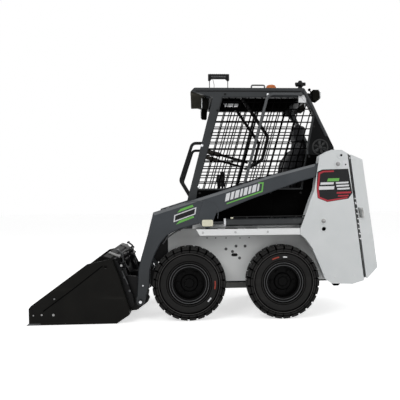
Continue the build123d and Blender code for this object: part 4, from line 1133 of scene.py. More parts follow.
def makeVent(sideName, side):
    x, z = vent["center"][0] / 1000, vent["center"][1] / 1000
    bladeY = side * vent["bladeY"]
    bm = bmesh.new()
    addRing(bm, (x, side * vent["face"], z), side, vent["ring"], 64)
    for angle in turns(vent["blades"], vent["firstBlade"]):
        rootX, rootZ = onCircle(x, z, vent["bladeRoot"], angle)
        for turn, reach, radius in vent["bladePipes"]:
            tipX, tipZ = onCircle(x, z, reach, angle + turn)
            addPipe(bm, [(rootX, bladeY, rootZ), (tipX, bladeY, tipZ)], radius, 0.01, 10)
    addRound(bm, (x, side * vent["capY"], z), *vent["cap"], rounding=0.002)
    settle("ventRing_" + sideName, bm, "root", "ventPaint")


pairUp(makeMesh)
pairUp(makeVent)

# sounder on the roof corner: foot, stem and a cap with five lobes

sounder = {
    "place": (-0.806, 0.338),
    "low": 1.875,
    "discs": (
        # height of the middle, radius, depth, sides, top radius, rounding
        (0.004, 0.030, 0.008, 40, None, 0.002),
        (0.018, 0.020, 0.024, 32, 0.016, 0.002),
        (0.044, 0.033, 0.026, 48, None, 0.005),
    ),
    "lobes": 5,
    "firstLobe": 0.31,
    "lobeCircle": 0.033,
    "lobe": (0.044, 0.0135, 0.026, 24, None, 0.004),
    "cap": (0.066, 0.022, 0.018, 32, 0.012, 0.002),
}


def makeSounder():
    x, y = sounder["place"]
    spots = [(x, y, disc) for disc in sounder["discs"]]
    for angle in turns(sounder["lobes"], sounder["firstLobe"]):
        spots.append((*onCircle(x, y, sounder["lobeCircle"], angle), sounder["lobe"]))
    spots.append((x, y, sounder["cap"]))
    bm = bmesh.new()
    for spotX, spotY, (height, radius, depth, sideCount, top, rounding) in spots:
        place = (spotX, spotY, sounder["low"] + height)
        addRound(bm, place, radius, depth, "Z", sideCount, top, rounding)
    settle("sounder", bm, "root", "blackPlastic", ["horn"])


makeSounder()

# beacon: magnet foot, collar with ribs and a low amber dome

beacon = {
    "x": -0.612,
    "low": 1.875,
    "foot": (0.006, 0.056, 0.012),  # height of the middle, radius, depth
    "collar": (0.026, 0.047, 0.030),
    "collarTop": 0.044,
    "ribs": 24,
    "ribCircle": 0.0455,
    "rib": (0.026, 0.0028, 0.026),
    "domeLow": 0.040,
    "dome": (  # radius, height
        (0.0, 0.0), (0.046, 0.0), (0.048, 0.004), (0.048, 0.012), (0.046, 0.014), (0.0475, 0.018),
        (0.047, 0.030), (0.0445, 0.032), (0.046, 0.036), (0.044, 0.052), (0.036, 0.063),
        (0.022, 0.0685), (0.0, 0.070),
    ),
}


def makeBeacon():
    x, low = beacon["x"], beacon["low"]
    bm = bmesh.new()
    height, radius, depth = beacon["foot"]
    addRound(bm, (x, 0, low + height), radius, depth, "Z", 48, rounding=0.002)
    height, radius, depth = beacon["collar"]
    addRound(bm, (x, 0, low + height), radius, depth, "Z", 48, beacon["collarTop"], 0.002)
    height, radius, depth = beacon["rib"]
    for angle in turns(beacon["ribs"]):
        addRound(bm, (*onCircle(x, 0, beacon["ribCircle"], angle), low + height), radius, depth, "Z", 8)
    settle("beaconBase", bm, "root", "blackPlastic")
    bm = bmesh.new()
    domeLow = low + beacon["domeLow"]
    profile = [(x + reach, 0, domeLow + up) for reach, up in beacon["dome"]]
    addSpin(bm, profile, (x, 0, domeLow), (0, 0, 1), 48, closed=False)
    settle("beaconDome", bm, "root", "amber", ["beacon"], smooth=50)


makeBeacon()

# light bar: end brackets, lens cells on both faces and cooling ribs on top

barLight = {
    "x": (-0.233, -0.045),
    "half": 0.025,
    "outline": (
        (-233, 2075), (-45, 2075), (-45, 2022), (-63, 2022), (-79, 2038), (-199, 2038), (-215, 2022),
        (-233, 2022),
    ),
    "ribs": 9,
    "ribFrom": 0.022,
    "ribPitch": 0.018,
    "ribHalf": 0.002,
    "ribZ": (2.062, 2.0762),
    "cells": 6,
    "cellFrom": 0.028,
    "cellPitch": 0.022,
    "cellOut": 0.0025,
    "cellSink": 0.003,
    "cellZ": (2.042, 2.058),
    "stayIn": 0.012,
    "stayTop": 2.026,
    "stayLow": 1.881,
    "stayRadius": 0.0035,
    "stayFoot": (0.018, 0.006),
    "roofTop": 1.875,
    "cable": ((-85, 2040), (-105, 1960), (-65, 1905), (-57, 1882)),
}


def makeLightBar():
    left, right = barLight["x"]
    half = barLight["half"]
    bm = bmesh.new()
    addPlate(bm, barLight["outline"], -half, half, 0.003)
    for k in range(barLight["ribs"]):
        x = left + barLight["ribFrom"] + k * barLight["ribPitch"]
        span = (x - barLight["ribHalf"], x + barLight["ribHalf"])
        addBar(bm, span, 0, half + 0.001, barLight["ribZ"], 0.0006, 1)
    settle("lightBarBody", bm, "root", "blackPlastic", ["light_bar"])
    bm = bmesh.new()
    pitch = barLight["cellPitch"]
    low, high = barLight["cellZ"]
    for side in (1, -1):
        inner, outer = side * half - barLight["cellSink"], side * (half + barLight["cellOut"])
        for k in range(barLight["cells"]):
            x = left + barLight["cellFrom"] + pitch * (k + 0.5)
            reach = pitch * 0.42
            addBlock(bm, (x - reach, inner, low), (x + reach, outer, high), 0.003)
    settle("lightBarLens", bm, "root", "smokedLens")
    bm = bmesh.new()
    radius, height = barLight["stayFoot"]
    for x in (left + barLight["stayIn"], right - barLight["stayIn"]):
        ends = [(x, 0, barLight["stayTop"]), (x, 0, barLight["stayLow"])]
        addPipe(bm, ends, barLight["stayRadius"], 0.01)
        addRound(bm, (x, 0, barLight["roofTop"] + height / 2), radius, height, "Z", 32, rounding=0.001)
    addPipe(bm, atY(barLight["cable"], 0), 0.0022, 0.03, 10)
    settle("lightBarStays", bm, "root", "blackSteel")


makeLightBar()
print("cab shell ready")

# operator's seat: padded cushion, back and headrest on a bellows base

seat = {
    "voxel": 0.007,
    "frames": 20,
    "pressure": 4.0,
    "stiffness": 30,
    "bending": 2,
    "smoothing": 0.35,
    # outline, half width, rounding, and how far the cloth may move
    "cushion": (((-812, 862), (-424, 862), (-404, 880), (-408, 912), (-812, 918)), 0.212, 0.016, 0.016),
    "back": (
        ((-724, 944), (-812, 944), (-878, 1410), (-812, 1416), (-722, 1294), (-662, 968)),
        0.212, 0.018, 0.016,
    ),
    "head": (((-806, 1462), (-792, 1556), (-826, 1624), (-904, 1592), (-882, 1462)), 0.106, 0.018, 0.014),
    "postX": -0.850,
    "postY": 0.065,
    "post": (1.440, 0.007, 0.060),  # height of the middle, radius, length
    "postCollar": (1.4245, 0.014, 0.010),
    "bellows": 5,
    "bellowsX": (-0.816, -0.424),
    "bellowsHalf": 0.204,
    "bellowsZ": (0.742, 0.752),
    "bellowsPitch": 0.021,
    "tray": ((-0.818, -0.412), 0.210, (0.838, 0.852)),
    "slideX": (-0.800, -0.430),
    "slideY": 0.216,
    "slideHalf": 0.010,
    "slideZ": (0.728, 0.744),
    "knob": ((-0.600, 0.232, 0.800), 0.020, 0.016),
    "buckleX": (-0.742, -0.706),
    "buckleY": 0.241,
    "buckleHalf": 0.005,
    "buckleZ": (0.880, 0.960),
    "stalk": ((-0.724, 0.241, 0.885), (-0.724, 0.241, 0.830), (-0.724, 0.224, 0.800)),
    "stalkRadius": 0.006,
}


def newestMesh(obj):
    depsgraph = bpy.context.evaluated_depsgraph_get()
    return bpy.data.meshes.new_from_object(obj.evaluated_get(depsgraph))


def blowUp(obj, cap):
    # cloth pressure fills the pad, and no point moves further than cap
    before = [vert.co.copy() for vert in obj.data.vertices]
    cloth = obj.modifiers.new("air", "CLOTH")
    cloth.settings.use_pressure = True
    cloth.settings.uniform_pressure_force = seat["pressure"]
    cloth.settings.effector_weights.gravity = 0
    cloth.settings.quality = 5
    cloth.settings.tension_stiffness = seat["stiffness"]
    cloth.settings.compression_stiffness = seat["stiffness"]
    cloth.settings.bending_stiffness = seat["bending"]
    scene = bpy.context.scene
    for frameNumber in range(1, seat["frames"] + 1):
        scene.frame_set(frameNumber)
    blown = newestMesh(obj)
    obj.modifiers.clear()
    for start, vert in zip(before, blown.vertices):
        moved = vert.co - start
        if moved.length > cap:
            vert.co = start + moved * (cap / moved.length)
    obj.data = blown
    scene.frame_set(1)


def makePad(name, outline, half, rounding, cap, shapeSeams, nodeName):
    # rounded block, blown up by cloth pressure, then sewn channels and one subdivision
    bm = bmesh.new()
    addPlate(bm, outline, -half, half)
    bmesh.ops.recalc_face_normals(bm, faces=bm.faces)
    roundEdges(bm, bm.edges, rounding, 4)
    obj = placeObject(name, meshFrom(bm, name))
    voxel = obj.modifiers.new("voxel", "REMESH")
    voxel.mode = "VOXEL"
    voxel.voxel_size = seat["voxel"]
    obj.data = newestMesh(obj)
    obj.modifiers.clear()
    blowUp(obj, cap)
    bm = bmesh.new()
    bm.from_mesh(obj.data)
    bmesh.ops.recalc_face_normals(bm, faces=bm.faces)
    bm.normal_update()
    for vert in bm.verts:
        vert.co -= vert.normal * shapeSeams(vert.co, vert.normal)
    for _ in range(2):
        bmesh.ops.smooth_vert(
            bm, verts=bm.verts, factor=seat["smoothing"], use_axis_x=True, use_axis_y=True, use_axis_z=True
        )
    bm.to_mesh(obj.data)
    bm.free()
    fine = obj.modifiers.new("fine", "SUBSURF")
    fine.levels = fine.render_levels = 1
    obj.data = newestMesh(obj)
    obj.modifiers.clear()
    obj.data.name = name
    obj.data.materials.clear()
    obj.data.materials.append(materials["seatVinyl"])
    for face in obj.data.polygons:
        face.use_smooth = True
    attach(obj, "root")
    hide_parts(nodeName)


seams = {
    # distance from the middle or place along the pad, then width and depth of each sewn groove
    "cushionSide": (0.135, 0.006, 0.007),
    "cushionCross": (-0.500, -0.570, -0.640),
    "cushionCrossGroove": (0.006, 0.005),
    "cushionSink": 0.008,
    "bolster": 0.010,
    "bolsterY": (0.14, 0.18),
    "cushionPiping": (0.888, 0.005, 0.005),
    "backSide": (0.125, 0.006, 0.008),
    "backSink": 0.012,
    "backCross": (1.03, 0.062, 6),  # lowest, pitch, count
    "backCrossGroove": (0.007, 0.007),
    "headSide": (0.066, 0.005, 0.005),
    "pipingGroove": (0.005, 0.005),
}


def groove(distance, width, depth):
    return depth * math.exp(-((distance / width) ** 2))


def cushionSeams(place, normal):
    # two long channels, cross channels and side bolsters that stand up
    across = abs(place.y)
    sideY, *sideGroove = seams["cushionSide"]
    pipingZ, *piping = seams["cushionPiping"]
    sink = groove(across - sideY, *sideGroove) if normal.z > 0.3 else 0.0
    if normal.z > 0.3 and across < sideY:
        for x in seams["cushionCross"]:
            sink += groove(place.x - x, *seams["cushionCrossGroove"])
        sink += seams["cushionSink"]
    if normal.z > 0.2:
        sink -= seams["bolster"] * gradualStep(across, *seams["bolsterY"]) * gradualStep(normal.z, 0.2, 0.8)
    return sink + groove(place.z - pipingZ, *piping) * (abs(normal.z) < 0.6)


def backSeams(place, normal):
    # bolsters at the sides and level sewn channels between them
    sink = 0.0
    if normal.x > 0.2:
        sideY, *sideGroove = seams["backSide"]
        sink = groove(abs(place.y) - sideY, *sideGroove)
        if abs(place.y) < sideY:
            sink += seams["backSink"]
            lowest, pitch, count = seams["backCross"]
            for k in range(count):
                sink += groove(place.z - (lowest + pitch * k), *seams["backCrossGroove"])
    fromPiping = (place.x + 0.765) * 0.99 + (place.z - 1.18) * 0.14
    return sink + groove(fromPiping, *seams["pipingGroove"]) * (abs(normal.x) < 0.6)


def headSeams(place, normal):
    # piping round the side and a seam near each edge of the front
    fromPiping = (place.x + 0.848) + (place.z - 1.54) * 0.25
    sink = groove(fromPiping, *seams["pipingGroove"]) * (abs(normal.x) < 0.7)
    if normal.x > 0.3:
        sideY, *sideGroove = seams["headSide"]
        sink += groove(abs(place.y) - sideY, *sideGroove)
    return sink


def makeSeat():
    makePad("seatCushion", *seat["cushion"], cushionSeams, "seat_cushion")
    makePad("seatBack", *seat["back"], backSeams, "seat_backrest")
    makePad("seatHeadrest", *seat["head"], headSeams, "headrest")
    bm = bmesh.new()
    for side in (1, -1):
        height, radius, length = seat["post"]
        addRound(bm, (seat["postX"], side * seat["postY"], height), radius, length, "Z", 20)
        height, radius, length = seat["postCollar"]
        addRound(bm, (seat["postX"], side * seat["postY"], height), radius, length, "Z", 24, rounding=0.002)
    settle("headrestPosts", bm, "root", "darkSteel")
    bm = bmesh.new()
    low, high = seat["bellowsZ"]
    for k in range(seat["bellows"]):
        up = k * seat["bellowsPitch"]
        addBar(bm, seat["bellowsX"], 0, seat["bellowsHalf"], (low + up, high + up), 0.0045, 3)
    spanX, half, spanZ = seat["tray"]
    addBar(bm, spanX, 0, half, spanZ, 0.005, 3)
    for side in (1, -1):
        addBar(bm, seat["slideX"], side * seat["slideY"], seat["slideHalf"], seat["slideZ"], 0.003)
    addRound(bm, *seat["knob"], rounding=0.003)
    settle("seatBellows", bm, "root", "rubber")
    bm = bmesh.new()
    for side in (1, -1):
        addBar(bm, seat["buckleX"], side * seat["buckleY"], seat["buckleHalf"], seat["buckleZ"], 0.004, 3)
        addPipe(bm, [(x, side * y, z) for x, y, z in seat["stalk"]], seat["stalkRadius"])
    settle("beltBuckles", bm, "root", "blackPlastic")


makeSeat()
print("seat ready")

# levers, armrest sleeves, pedals and floor mat

controls = {
    "deck": 0.727,
    "leverX": -0.100,
    "leverY": 0.330,
    "bootRings": 6,
    "bootUp": (0.080, 0.013),  # height of the lowest ring, pitch
    "bootRadius": (0.029, 0.018),  # lowest ring, highest ring
    "bootTop": (0.023, 0.014),
    "bootDepth": 0.011,
    "bootLean": 0.010,
    "gripX": -0.150,
    "gripRings": 4,
    "gripUp": (0.362, 0.020),
    "gripRadius": 0.0205,
    "gripGrowth": 0.0006,
    "gripCap": (0.461, 0.012, 0.006),
    "trigger": ((0.012, 0.026), 0.007, (0.395, 0.428)),
    "sleeve": ((-15, 1362), (-135, 1328)),
    "sleeveY": 0.338,
    "sleeveRadius": 0.019,
    "pedalRibs": 5,
    "pedalFrom": (0.158, 0.4875),
    "pedalTo": (0.236, 0.564),
    "pedalY": 0.110,
    "pedalHalf": 0.044,
    "mat": ((-0.318, -0.290, 0.4705), (0.140, 0.290, 0.4745)),
    "matRibs": 14,
    "matRibHalf": 0.004,
}


def makeControls(sideName, side):
    deck, y = controls["deck"], side * controls["leverY"]
    bm = bmesh.new()
    low, pitch = controls["bootUp"]
    lowRadius, highRadius = controls["bootRadius"]
    lowTop, highTop = controls["bootTop"]
    for k in range(controls["bootRings"]):
        share = k / (controls["bootRings"] - 1)
        place = (controls["leverX"] - controls["bootLean"] * share, y, deck + low + pitch * k)
        radius = lowRadius + (highRadius - lowRadius) * share
        top = lowTop + (highTop - lowTop) * share
        addRound(bm, place, radius, controls["bootDepth"], "Z", 32, top, 0.002)
    settle("leverBoot_" + sideName, bm, "root", "rubber")
    bm = bmesh.new()
    x = controls["gripX"]
    low, pitch = controls["gripUp"]
    for k in range(controls["gripRings"]):
        radius = controls["gripRadius"] + controls["gripGrowth"] * k
        addRound(bm, (x, y, deck + low + pitch * k), radius, 0.012, "Z", 32, rounding=0.003)
    up, radius, depth = controls["gripCap"]
    addRound(bm, (x + 0.004, y, deck + up), radius, depth, "Z", 24, rounding=0.0015)
    spanX, half, spanZ = controls["trigger"]
    addBar(bm, [x + ahead for ahead in spanX], y, half, [deck + up for up in spanZ], 0.003)
    settle("leverGrip_" + sideName, bm, "root", "blackPlastic")
    bm = bmesh.new()
    sleeve = atY(controls["sleeve"], side * controls["sleeveY"])
    addPipe(bm, sleeve, controls["sleeveRadius"], 0.01, 20)
    settle("armrestSleeve_" + sideName, bm, "root", "foam")
    bm = bmesh.new()
    (x1, z1), (x2, z2) = controls["pedalFrom"], controls["pedalTo"]
    for k in range(controls["pedalRibs"]):
        share = (k + 0.5) / controls["pedalRibs"]
        x, z = x1 + (x2 - x1) * share, z1 + (z2 - z1) * share
        pedalY = side * controls["pedalY"]
        addBar(bm, (x - 0.003, x + 0.004), pedalY, controls["pedalHalf"], (z - 0.004, z + 0.0045), 0.0015)
    settle("pedalPad_" + sideName, bm, "root", "rubber")


def makeFloorMat():
    low, high = controls["mat"]
    bm = bmesh.new()
    addBlock(bm, low, high, 0.0015)
    step = (high[1] - low[1]) / (controls["matRibs"] + 1)
    spanX, spanZ = (low[0] + 0.02, high[0] - 0.02), (high[2] - 0.001, high[2] + 0.0018)
    for k in range(controls["matRibs"]):
        addBar(bm, spanX, low[1] + step * (k + 1), controls["matRibHalf"], spanZ, 0.0012)
    settle("floorMat", bm, "root", "rubber")


pairUp(makeControls)
makeFloorMat()
print("controls ready")

# loader towers: rings, pin bosses, small plate and rivets, and painted shade in the holes and along the gap
# behind the tower

tower = {
    "face": 0.509,
    "rings": ((-1096, 1310, 0.0095, 0.028), (-953, 722, 0.0185, 0.028)),  # x, z, inner and outer radius
    "ringHeight": 0.0045,
    "bosses": ((-1073, 1242, 0.030), (-952, 783, 0.027)),
    "bossHeight": 0.005,
    "pinBolt": (0.0065, 0.0145, 0.007),  # out, radius, depth
    "pinWasher": (0.0055, 0.018, 0.002),
    "plate": ((-1112, 1216), (-1154, 1214), (-1156, 1268), (-1114, 1270)),
    "plateThickness": 0.0015,
    "rivets": ((-938, 1240), (-1040, 330), (-1200, 340), (-1172, 1290), (-1215, 930)),
    "rivet": (0.006, 0.0025),
    "folds": (
        ((-920, 1306), (-990, 1344), (-1024, 1355), (-1104, 1354), (-1160, 1322)),
        ((-1010, 284), (-972, 314), (-916, 452), (-868, 566), (-812, 646), (-772, 676)),
    ),
    "foldRadius": 0.0018,
    # painted shade: black discs in and over the holes, for their depth
    "holeShades": (
        # x, z, out, radius, depth, sides
        (-953, 722, -0.006, 0.0182, 0.001, 32),
        (-1096, 1310, -0.006, 0.0092, 0.001, 32),
        (-1101, 1313.5, 0.0047, 0.0085, 0.0006, 32),
        (-1137, 1237, 0.0018, 0.0060, 0.0012, 24),
    ),
    # painted shade: black strip along the gap behind the tower
    "seam": ((-1154, 1322), (-1162.5, 1322), (-1286, 324), (-1279, 324)),
}


def makeTower(sideName, side):
    face = side * tower["face"]
    height = tower["ringHeight"]
    bm = bmesh.new()
    for x, z, inner, outer in tower["rings"]:
        profile = (
            (inner, 0), (inner, height - 0.001), (inner + 0.0015, height), (outer - 0.002, height),
            (outer, height - 0.0015), (outer, 0),
        )
        addRing(bm, (x / 1000, face, z / 1000), side, profile, 48)
    depth = tower["bossHeight"]
    for x, z, radius in tower["bosses"]:
        place = (x / 1000, face + side * depth / 2, z / 1000)
        addRound(bm, place, radius, depth, sideCount=48, rounding=0.0015)
    for points in tower["folds"]:
        addBead(bm, points, face - side * 0.0006, tower["foldRadius"])
    settle("towerRings_" + sideName, bm, "root", "whitePaint")
    bm = bmesh.new()
    for x, z, _ in tower["bosses"]:
        out, radius, depth = tower["pinBolt"]
        addRound(bm, (x / 1000, face + side * out, z / 1000), radius, depth, sideCount=6, rounding=0.0015)
        out, radius, depth = tower["pinWasher"]
        addRound(bm, (x / 1000, face + side * out, z / 1000), radius, depth)
    settle("towerPinBolts_" + sideName, bm, "root", "wornSteel")
    bm = bmesh.new()
    addPlate(bm, tower["plate"], face, face + side * tower["plateThickness"], 0.0005)
    for place in atY(tower["rivets"], face):
        addDome(bm, place, *tower["rivet"])
    settle("towerPlate_" + sideName, bm, "root", "stripeWhite")
    # painted shade in the holes and along the gap
    bm = bmesh.new()
    for x, z, out, radius, depth, sideCount in tower["holeShades"]:
        addRound(bm, (x / 1000, face + side * out, z / 1000), radius, depth, sideCount=sideCount)
    addPlate(bm, tower["seam"], face - side * 0.0002, face + side * 0.0005)
    settle("towerShades_" + sideName, bm, "root", "panelBlack")


pairUp(makeTower)

# decorative panel on each tower: plain bars and stripes on black

panel = {
    "face": 0.509,
    "baseOut": 0.0008,
    "marksOut": 0.0012,
    "base": (
        (-905, 1180), (-948, 1198), (-1158, 1203), (-1190, 1006), (-1158, 962), (-985, 936), (-905, 968),
        (-898, 1040),
    ),
    "edge": (
        (-914, 1172), (-950, 1188), (-1040, 1190), (-1040, 1178), (-958, 1176), (-928, 1162), (-916, 1042),
        (-922, 978), (-988, 952), (-1150, 976), (-1152, 966), (-986, 938), (-907, 970), (-899, 1040),
    ),
    "greenBar": ((-992, 1126), (-1085, 1128), (-1080, 1104), (-984, 1102)),
    "whiteBars": (
        ((-932, 1094), (-1040, 1096), (-1036, 1078), (-928, 1074)),
        ((-918, 1062), (-1044, 1064), (-1040, 1038), (-912, 1034)),
        ((-1056, 1096), (-1160, 1100), (-1158, 1086), (-1056, 1082)),
        ((-1060, 1072), (-1164, 1076), (-1162, 1062), (-1060, 1058)),
        ((-1066, 1048), (-1170, 1052), (-1168, 1038), (-1066, 1034)),
    ),
    "redBars": (
        ((-1062, 1016), (-1180, 1020), (-1178, 1006), (-1062, 1002)),
        ((-1072, 990), (-1160, 993), (-1158, 981), (-1072, 978)),
    ),
}


def makePanel(sideName, side):
    face = side * panel["face"]
    for name, slotName, finish, out, shapes in (
        ("panelBase_", "black_paint", "stripeBlack", panel["baseOut"], (panel["base"],)),
        ("panelEdge_", "pale_paint", "stripeRed", panel["marksOut"], (panel["edge"],)),
        ("panelGreen_", "pale_paint", "stripeGreen", panel["marksOut"], (panel["greenBar"],)),
        ("panelWhite_", "pale_paint", "stripeWhite", panel["marksOut"], panel["whiteBars"]),
        ("panelRed_", "pale_paint", "stripeRed", panel["marksOut"], panel["redBars"]),
    ):
        bm = bmesh.new()
        for points in shapes:
            addFlat(bm, points, face, side, out)
        settle(name + sideName, bm, "root", finish, smooth=0)


pairUp(makePanel)
print("towers ready")

# loader arms: bars, painted highlight along the top edges, pins and weld beads

arm = {
    "face": 0.495,
    "slope": math.radians(17.1),
    "markOut": 0.0009,
    "innerMarkOut": 0.0013,
    "barsFrom": (-158, 947),
    "bars": ((0, 34), (44, 26), (80, 34), (124, 20), (154, 30), (194, 20), (224, 34), (268, 16)),
    "barHeight": 62,
    "barLean": 12,
    "strip": ((252, 786), (78, 848), (70, 904), (246, 842)),
    "stripInside": ((242, 798), (86, 853), (80, 893), (237, 837)),
    "greenMarks": (
        ((-172, 925), (-462, 1022), (-472, 1100), (-428, 1096), (-432, 1086), (-460, 1088), (-452, 1030),
         (-172, 934)),
        ((222, 862), (92, 908), (100, 924), (196, 890)),
        ((232, 768), (88, 822), (96, 836), (206, 798)),
    ),
    "pins": ((517, 158, 0.0125, 0.010), (497, 287, 0.0060, 0.004)),  # x, z, radius, out
    # painted highlight strip along the top edge of the arm
    "edge": ((414, 862), (-523, 1150), (-890, 1245), (-884, 1224), (-517, 1129), (404, 842)),
    "edgeSink": 0.006,
    "edgeOut": 0.0007,
    "tube": (330, 835),
    "tubeY": 0.429,
    "weldCircle": 0.0455,
    "weldSpots": 28,
    "weldSpot": (0.0052, 0.0035),
    "knee": ((160, 938), (100, 952), (41, 953), (-20, 944), (-60, 934), (-94, 904), (-104, 850), (-98, 812)),
    "kneeY": 0.4955,
    "kneeRadius": 0.0035,
}


def armPoint(start, along, up, lean):
    x = start[0] - along * math.cos(arm["slope"]) - lean
    z = start[1] + along * math.sin(arm["slope"]) + up
    return x, z


def makeArmTrim(sideName, side):
    face = side * arm["face"]
    start, up, lean = arm["barsFrom"], arm["barHeight"], arm["barLean"]
    bars = [
        (
            armPoint(start, along, 0, 0), armPoint(start, along + width, 0, 0),
            armPoint(start, along + width, up, lean), armPoint(start, along, up, lean),
        )
        for along, width in arm["bars"]
    ]
    bm = bmesh.new()
    # painted highlight: a lighter strip along the arm's top edge, where its rounded edge catches the light
    addPlate(bm, arm["edge"], face - side * arm["edgeSink"], face + side * arm["edgeOut"])
    settle("armHighlight_" + sideName, bm, "lift_arms", "armHighlight", smooth=0)
    for name, slotName, finish, out, shapes in (
        ("armWhiteBars_", "pale_paint", "stripeWhite", arm["markOut"], (*bars, arm["strip"])),
        ("armGreenBars_", "pale_paint", "stripeGreen", arm["markOut"], arm["greenMarks"]),
        ("armDarkStrip_", "black_paint", "stripeBlack", arm["innerMarkOut"], (arm["stripInside"],)),
    ):
        bm = bmesh.new()
        for points in shapes:
            addFlat(bm, points, face, side, out)
        settle(name + sideName, bm, "lift_arms", finish, smooth=0)
    bm = bmesh.new()
    for x, z, radius, out in arm["pins"]:
        addRound(bm, (x / 1000, face + side * out / 2, z / 1000), radius, out, rounding=0.0015)
        addDome(bm, (x / 1000, face + side * out, z / 1000), radius * 0.35, 0.003)
    settle("armPins_" + sideName, bm, "lift_arms", "chrome")
    bm = bmesh.new()
    x, z = arm["tube"]
    for angle in turns(arm["weldSpots"]):
        spotX, spotZ = onCircle(x / 1000, z / 1000, arm["weldCircle"], angle)
        addDome(bm, (spotX, side * arm["tubeY"], spotZ), *arm["weldSpot"], rings=3)
    addBead(bm, arm["knee"], side * arm["kneeY"], arm["kneeRadius"])
    settle("armWelds_" + sideName, bm, "lift_arms", "greyPaint")


pairUp(makeArmTrim)


# steel pipes under the arm's elbow and a fitting beside its leg

elbowPipes = {
    "y": (0.440, 0.460),
    "run": ((150, 746), (205, 724), (262, 692), (308, 658), (340, 612)),
    "radius": 0.005,
    "nuts": ((205, 724), (308, 660)),
    "nut": (0.0105, 0.016),
    "legFitting": ((418, 456), (404, 430), (420, 406)),
    "legFittingY": 0.436,
    "legFittingRadius": 0.0085,
}


def makeElbowPipes(sideName, side):
    bm = bmesh.new()
    for y in elbowPipes["y"]:
        addPipe(bm, atY(elbowPipes["run"], side * y), elbowPipes["radius"], 0.03)
    settle("elbowPipes_" + sideName, bm, "lift_arms", "darkSteel")
    bm = bmesh.new()
    for nut in elbowPipes["nuts"]:
        for y in elbowPipes["y"]:
            addRound(bm, *atY([nut], side * y), *elbowPipes["nut"], "X", 6, rounding=0.001)
    settle("elbowNuts_" + sideName, bm, "lift_arms", "darkSteel")
    bm = bmesh.new()
    route = atY(elbowPipes["legFitting"], side * elbowPipes["legFittingY"])
    addPipe(bm, route, elbowPipes["legFittingRadius"], 0.014, 16)
    settle("legFitting_" + sideName, bm, "lift_arms", "chrome")


pairUp(makeElbowPipes)

# cylinders: gland collar, hard line with its nuts and clips, bands

cylinder = {
    "base": (-957, 782),
    "eye": (-17.6, 777),
    "y": 0.4625,
    "inner": 0.0225,
    "gland": (800, 0.008, 0.008, 0.0330),  # along the barrel, reach back, reach on, outer radius
    "end": (760, 0.012, 0.034, 0.0312),
    "bands": (120, 380),
    "band": (0.0318, 0.003),
    "line": ((62, 28), (62, 43), (742, 43), (742, 28)),  # along and above the barrel
    "lineRadius": 0.0055,
    "clips": (220, 420, 620),
    "clipUp": 37,
    "clipHalf": (0.007, 0.010),
    "clipZ": (0.008, 0.0110),
    "nuts": ((62, 35), (742, 35)),
    "nut": (0.0115, 0.012),
}


def onCylinder(which, along, up, y=0.0):
    # place along a cylinder from its base pin and above its axis, given in millimetres
    base, eye = which["base"], which["eye"]
    reach = math.hypot(eye[0] - base[0], eye[1] - base[1])
    ux, uz = (eye[0] - base[0]) / reach, (eye[1] - base[1]) / reach
    return (base[0] + ux * along - uz * up) / 1000, y, (base[1] + uz * along + ux * up) / 1000


def addCollar(bm, y, along, back, on, outer):
    # square-edged ring round the barrel
    x, _, z = onCylinder(cylinder, along, 0)
    inner = cylinder["inner"]
    profile = ((x - back, inner), (x - back, outer), (x + on, outer), (x + on, inner))
    addSpin(bm, [(a, y, z + radius) for a, radius in profile], (x, y, z), (1, 0, 0), 48)


def makeLiftCylinder(sideName, side):
    body = "lift_barrel_" + sideName
    y = side * cylinder["y"]
    bm = bmesh.new()
    addCollar(bm, y, *cylinder["gland"])
    settle("glandCollar_" + sideName, bm, body, "stripeWhite")
    bm = bmesh.new()
    route = [onCylinder(cylinder, *spot, y) for spot in cylinder["line"]]
    addPipe(bm, route, cylinder["lineRadius"], 0.014, 16)
    halfX, halfY = cylinder["clipHalf"]
    down, up = cylinder["clipZ"]
    for along in cylinder["clips"]:
        x, _, z = onCylinder(cylinder, along, cylinder["clipUp"])
        addBar(bm, (x - halfX, x + halfX), y, halfY, (z - down, z + up), 0.002)
    settle("cylinderLine_" + sideName, bm, body, "blackSteel")
    bm = bmesh.new()
    for spot in cylinder["nuts"]:
        addRound(bm, onCylinder(cylinder, *spot, y), *cylinder["nut"], "Z", 6, rounding=0.001)
    settle("cylinderNuts_" + sideName, bm, body, "zinc")
    bm = bmesh.new()
    addCollar(bm, y, *cylinder["end"])
    for along in cylinder["bands"]:
        addRound(bm, onCylinder(cylinder, along, 0, y), *cylinder["band"], "X", 40)
    settle("barrelBands_" + sideName, bm, body, "cylinderPaint")


pairUp(makeLiftCylinder)


tilt = {
    "base": (370, 745),
    "eye": (545, 310),
    "gland": ((300, 0), (330, 0)),
    "glandRadius": 0.0372,
    "line": ((60, 30), (60, 48), (290, 48), (290, 30)),
    "lineRadius": 0.0055,
}


def makeTiltCylinder():
    bm = bmesh.new()
    addPipe(bm, [onCylinder(tilt, *spot) for spot in tilt["gland"]], tilt["glandRadius"], 0.01, 32)
    settle("tiltGland", bm, "tilt_barrel", "greyPaint")
    bm = bmesh.new()
    addPipe(bm, [onCylinder(tilt, *spot) for spot in tilt["line"]], tilt["lineRadius"], 0.014, 16)
    settle("tiltLine", bm, "tilt_barrel", "wornSteel")


makeTiltCylinder()
print("arms and cylinders ready")

# coupler: side cheeks, lever plates, bolts, weld beads and cross rods

